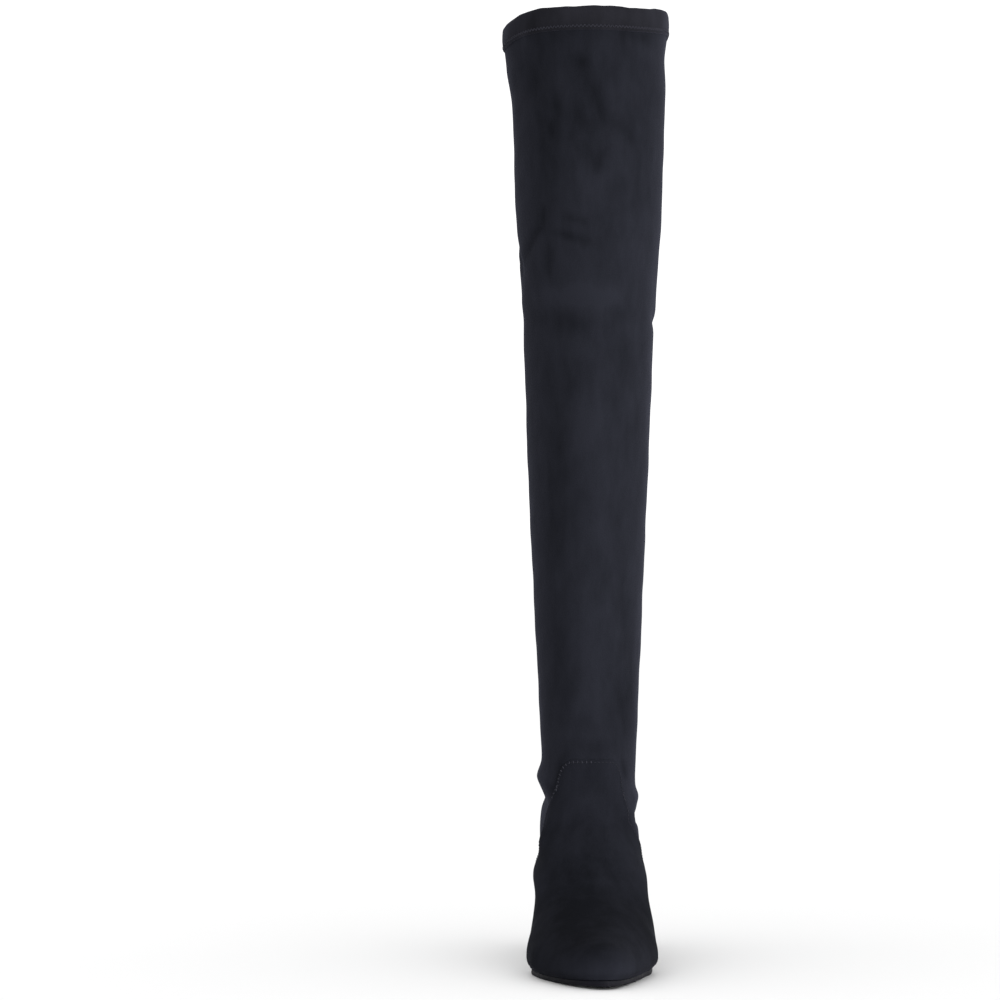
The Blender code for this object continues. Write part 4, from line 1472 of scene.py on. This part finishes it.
class BootColours(bpy.types.PropertyGroup):
    """Colours as sRGB hex values."""

    shaft_dark: StringProperty(
        name="Shaft Dark", description="Stroked-down nap of the shaft", default="#0e0f13"
    )
    shaft_light: StringProperty(name="Shaft Light", description="Raised nap of the shaft", default="#1c1d23")
    vamp_dark: StringProperty(name="Vamp Dark", description="Stroked-down nap of the vamp", default="#0d0e12")
    vamp_light: StringProperty(name="Vamp Light", description="Raised nap of the vamp", default="#1b1c22")
    hem_dark: StringProperty(name="Hem Dark", description="Stroked-down nap of the hem", default="#101013")
    hem_light: StringProperty(name="Hem Light", description="Raised nap of the hem", default="#1f1f24")
    lining: StringProperty(name="Lining", description="Knitted lining", default="#151518")
    sole: StringProperty(name="Sole", description="Sole edge and underside", default="#0b0b0f")
    sole_pale: StringProperty(name="Sole Scuffs", description="Scuffs on the sole", default="#1a1920")
    sock: StringProperty(name="Sock", description="Cover of the insole", default="#1a1a1d")
    rubber: StringProperty(name="Rubber", description="Top piece of the heel", default="#141416")
    thread: StringProperty(name="Thread", description="Sewing thread", default="#1e1e24")
    worn_thread: StringProperty(
        name="Worn Thread", description="Thread that is rubbed paler", default="#27272e"
    )


# Operators


class BOOT_OT_upper(bpy.types.Operator):
    """Build the suede upper with its lining"""

    bl_idname = "boot.upper"
    bl_label = "Upper"

    def execute(self, context):
        colours = context.scene.boot_colours
        finish = suede("stretch_suede_shaft", colours.shaft_dark, colours.shaft_light, SHAFT_SHEEN, True)
        build_upper(finish, knit_lining("warp_knit_lining", colours.lining))
        return {"FINISHED"}


class BOOT_OT_vamp(bpy.types.Operator):
    """Build the vamp panel"""

    bl_idname = "boot.vamp"
    bl_label = "Vamp Panel"

    def execute(self, context):
        colours = context.scene.boot_colours
        build_vamp(suede("stretch_suede_vamp", colours.vamp_dark, colours.vamp_light, VAMP_SHEEN, True))
        return {"FINISHED"}


class BOOT_OT_hem(bpy.types.Operator):
    """Build the folded hem at the collar"""

    bl_idname = "boot.hem"
    bl_label = "Collar Hem"

    def execute(self, context):
        colours = context.scene.boot_colours
        build_hem(suede("stretch_suede_hem", colours.hem_dark, colours.hem_light, SHAFT_SHEEN, True))
        return {"FINISHED"}


class BOOT_OT_soles(bpy.types.Operator):
    """Build the outsole and the insole"""

    bl_idname = "boot.soles"
    bl_label = "Soles"

    def execute(self, context):
        colours = context.scene.boot_colours
        finish = sole_resin("moulded_sole_resin", colours.sole, colours.sole_pale)
        build_soles(finish, knit_lining("insole_sock_knit", colours.sock))
        return {"FINISHED"}


class BOOT_OT_heel(bpy.types.Operator):
    """Build the covered heel and its top piece"""

    bl_idname = "boot.heel"
    bl_label = "Heel"

    def execute(self, context):
        colours = context.scene.boot_colours
        finish = suede("stretch_suede_heel", colours.vamp_dark, colours.vamp_light, VAMP_SHEEN, False)
        build_heel(finish, rubber("moulded_rubber", colours.rubber))
        return {"FINISHED"}


class BOOT_OT_stitches(bpy.types.Operator):
    """Sew the collar, the vamp's edge and the back seam"""

    bl_idname = "boot.stitches"
    bl_label = "Stitches"

    def execute(self, context):
        colours = context.scene.boot_colours
        thread = sewing_thread("polyester_thread", colours.thread)
        build_stitches(thread, sewing_thread("worn_polyester_thread", colours.worn_thread))
        return {"FINISHED"}


class BOOT_OT_stage(bpy.types.Operator):
    """Set up the white studio and the camera"""

    bl_idname = "boot.stage"
    bl_label = "Stage"

    def execute(self, context):
        build_stage()
        return {"FINISHED"}


OPERATORS = (
    BOOT_OT_upper,
    BOOT_OT_vamp,
    BOOT_OT_hem,
    BOOT_OT_soles,
    BOOT_OT_heel,
    BOOT_OT_stitches,
    BOOT_OT_stage,
)


class BOOT_PT_panel(bpy.types.Panel):
    """The boot's sizes, colours and steps"""

    bl_idname = "BOOT_PT_panel"
    bl_label = "Thigh High Boot"
    bl_space_type = "VIEW_3D"
    bl_region_type = "UI"
    bl_category = "Boot"

    def draw(self, context):
        for group in (context.scene.boot_sizes, context.scene.boot_colours):
            box = self.layout.box()
            for name in type(group).__annotations__:
                box.prop(group, name)
        for operator in OPERATORS:
            self.layout.operator(operator.bl_idname)


CLASSES = (BootSizes, BootColours, *OPERATORS, BOOT_PT_panel)


def register():
    for kind in CLASSES:
        bpy.utils.register_class(kind)
    bpy.types.Scene.boot_sizes = PointerProperty(type=BootSizes)
    bpy.types.Scene.boot_colours = PointerProperty(type=BootColours)


def unregister():
    del bpy.types.Scene.boot_sizes
    del bpy.types.Scene.boot_colours
    for kind in reversed(CLASSES):
        bpy.utils.unregister_class(kind)


def main():
    """Builds every piece and the stage."""
    register()
    boot = bpy.ops.boot
    for step in (boot.upper, boot.vamp, boot.hem, boot.soles, boot.heel, boot.stitches, boot.stage):
        step()


if __name__ == "__main__":
    main()
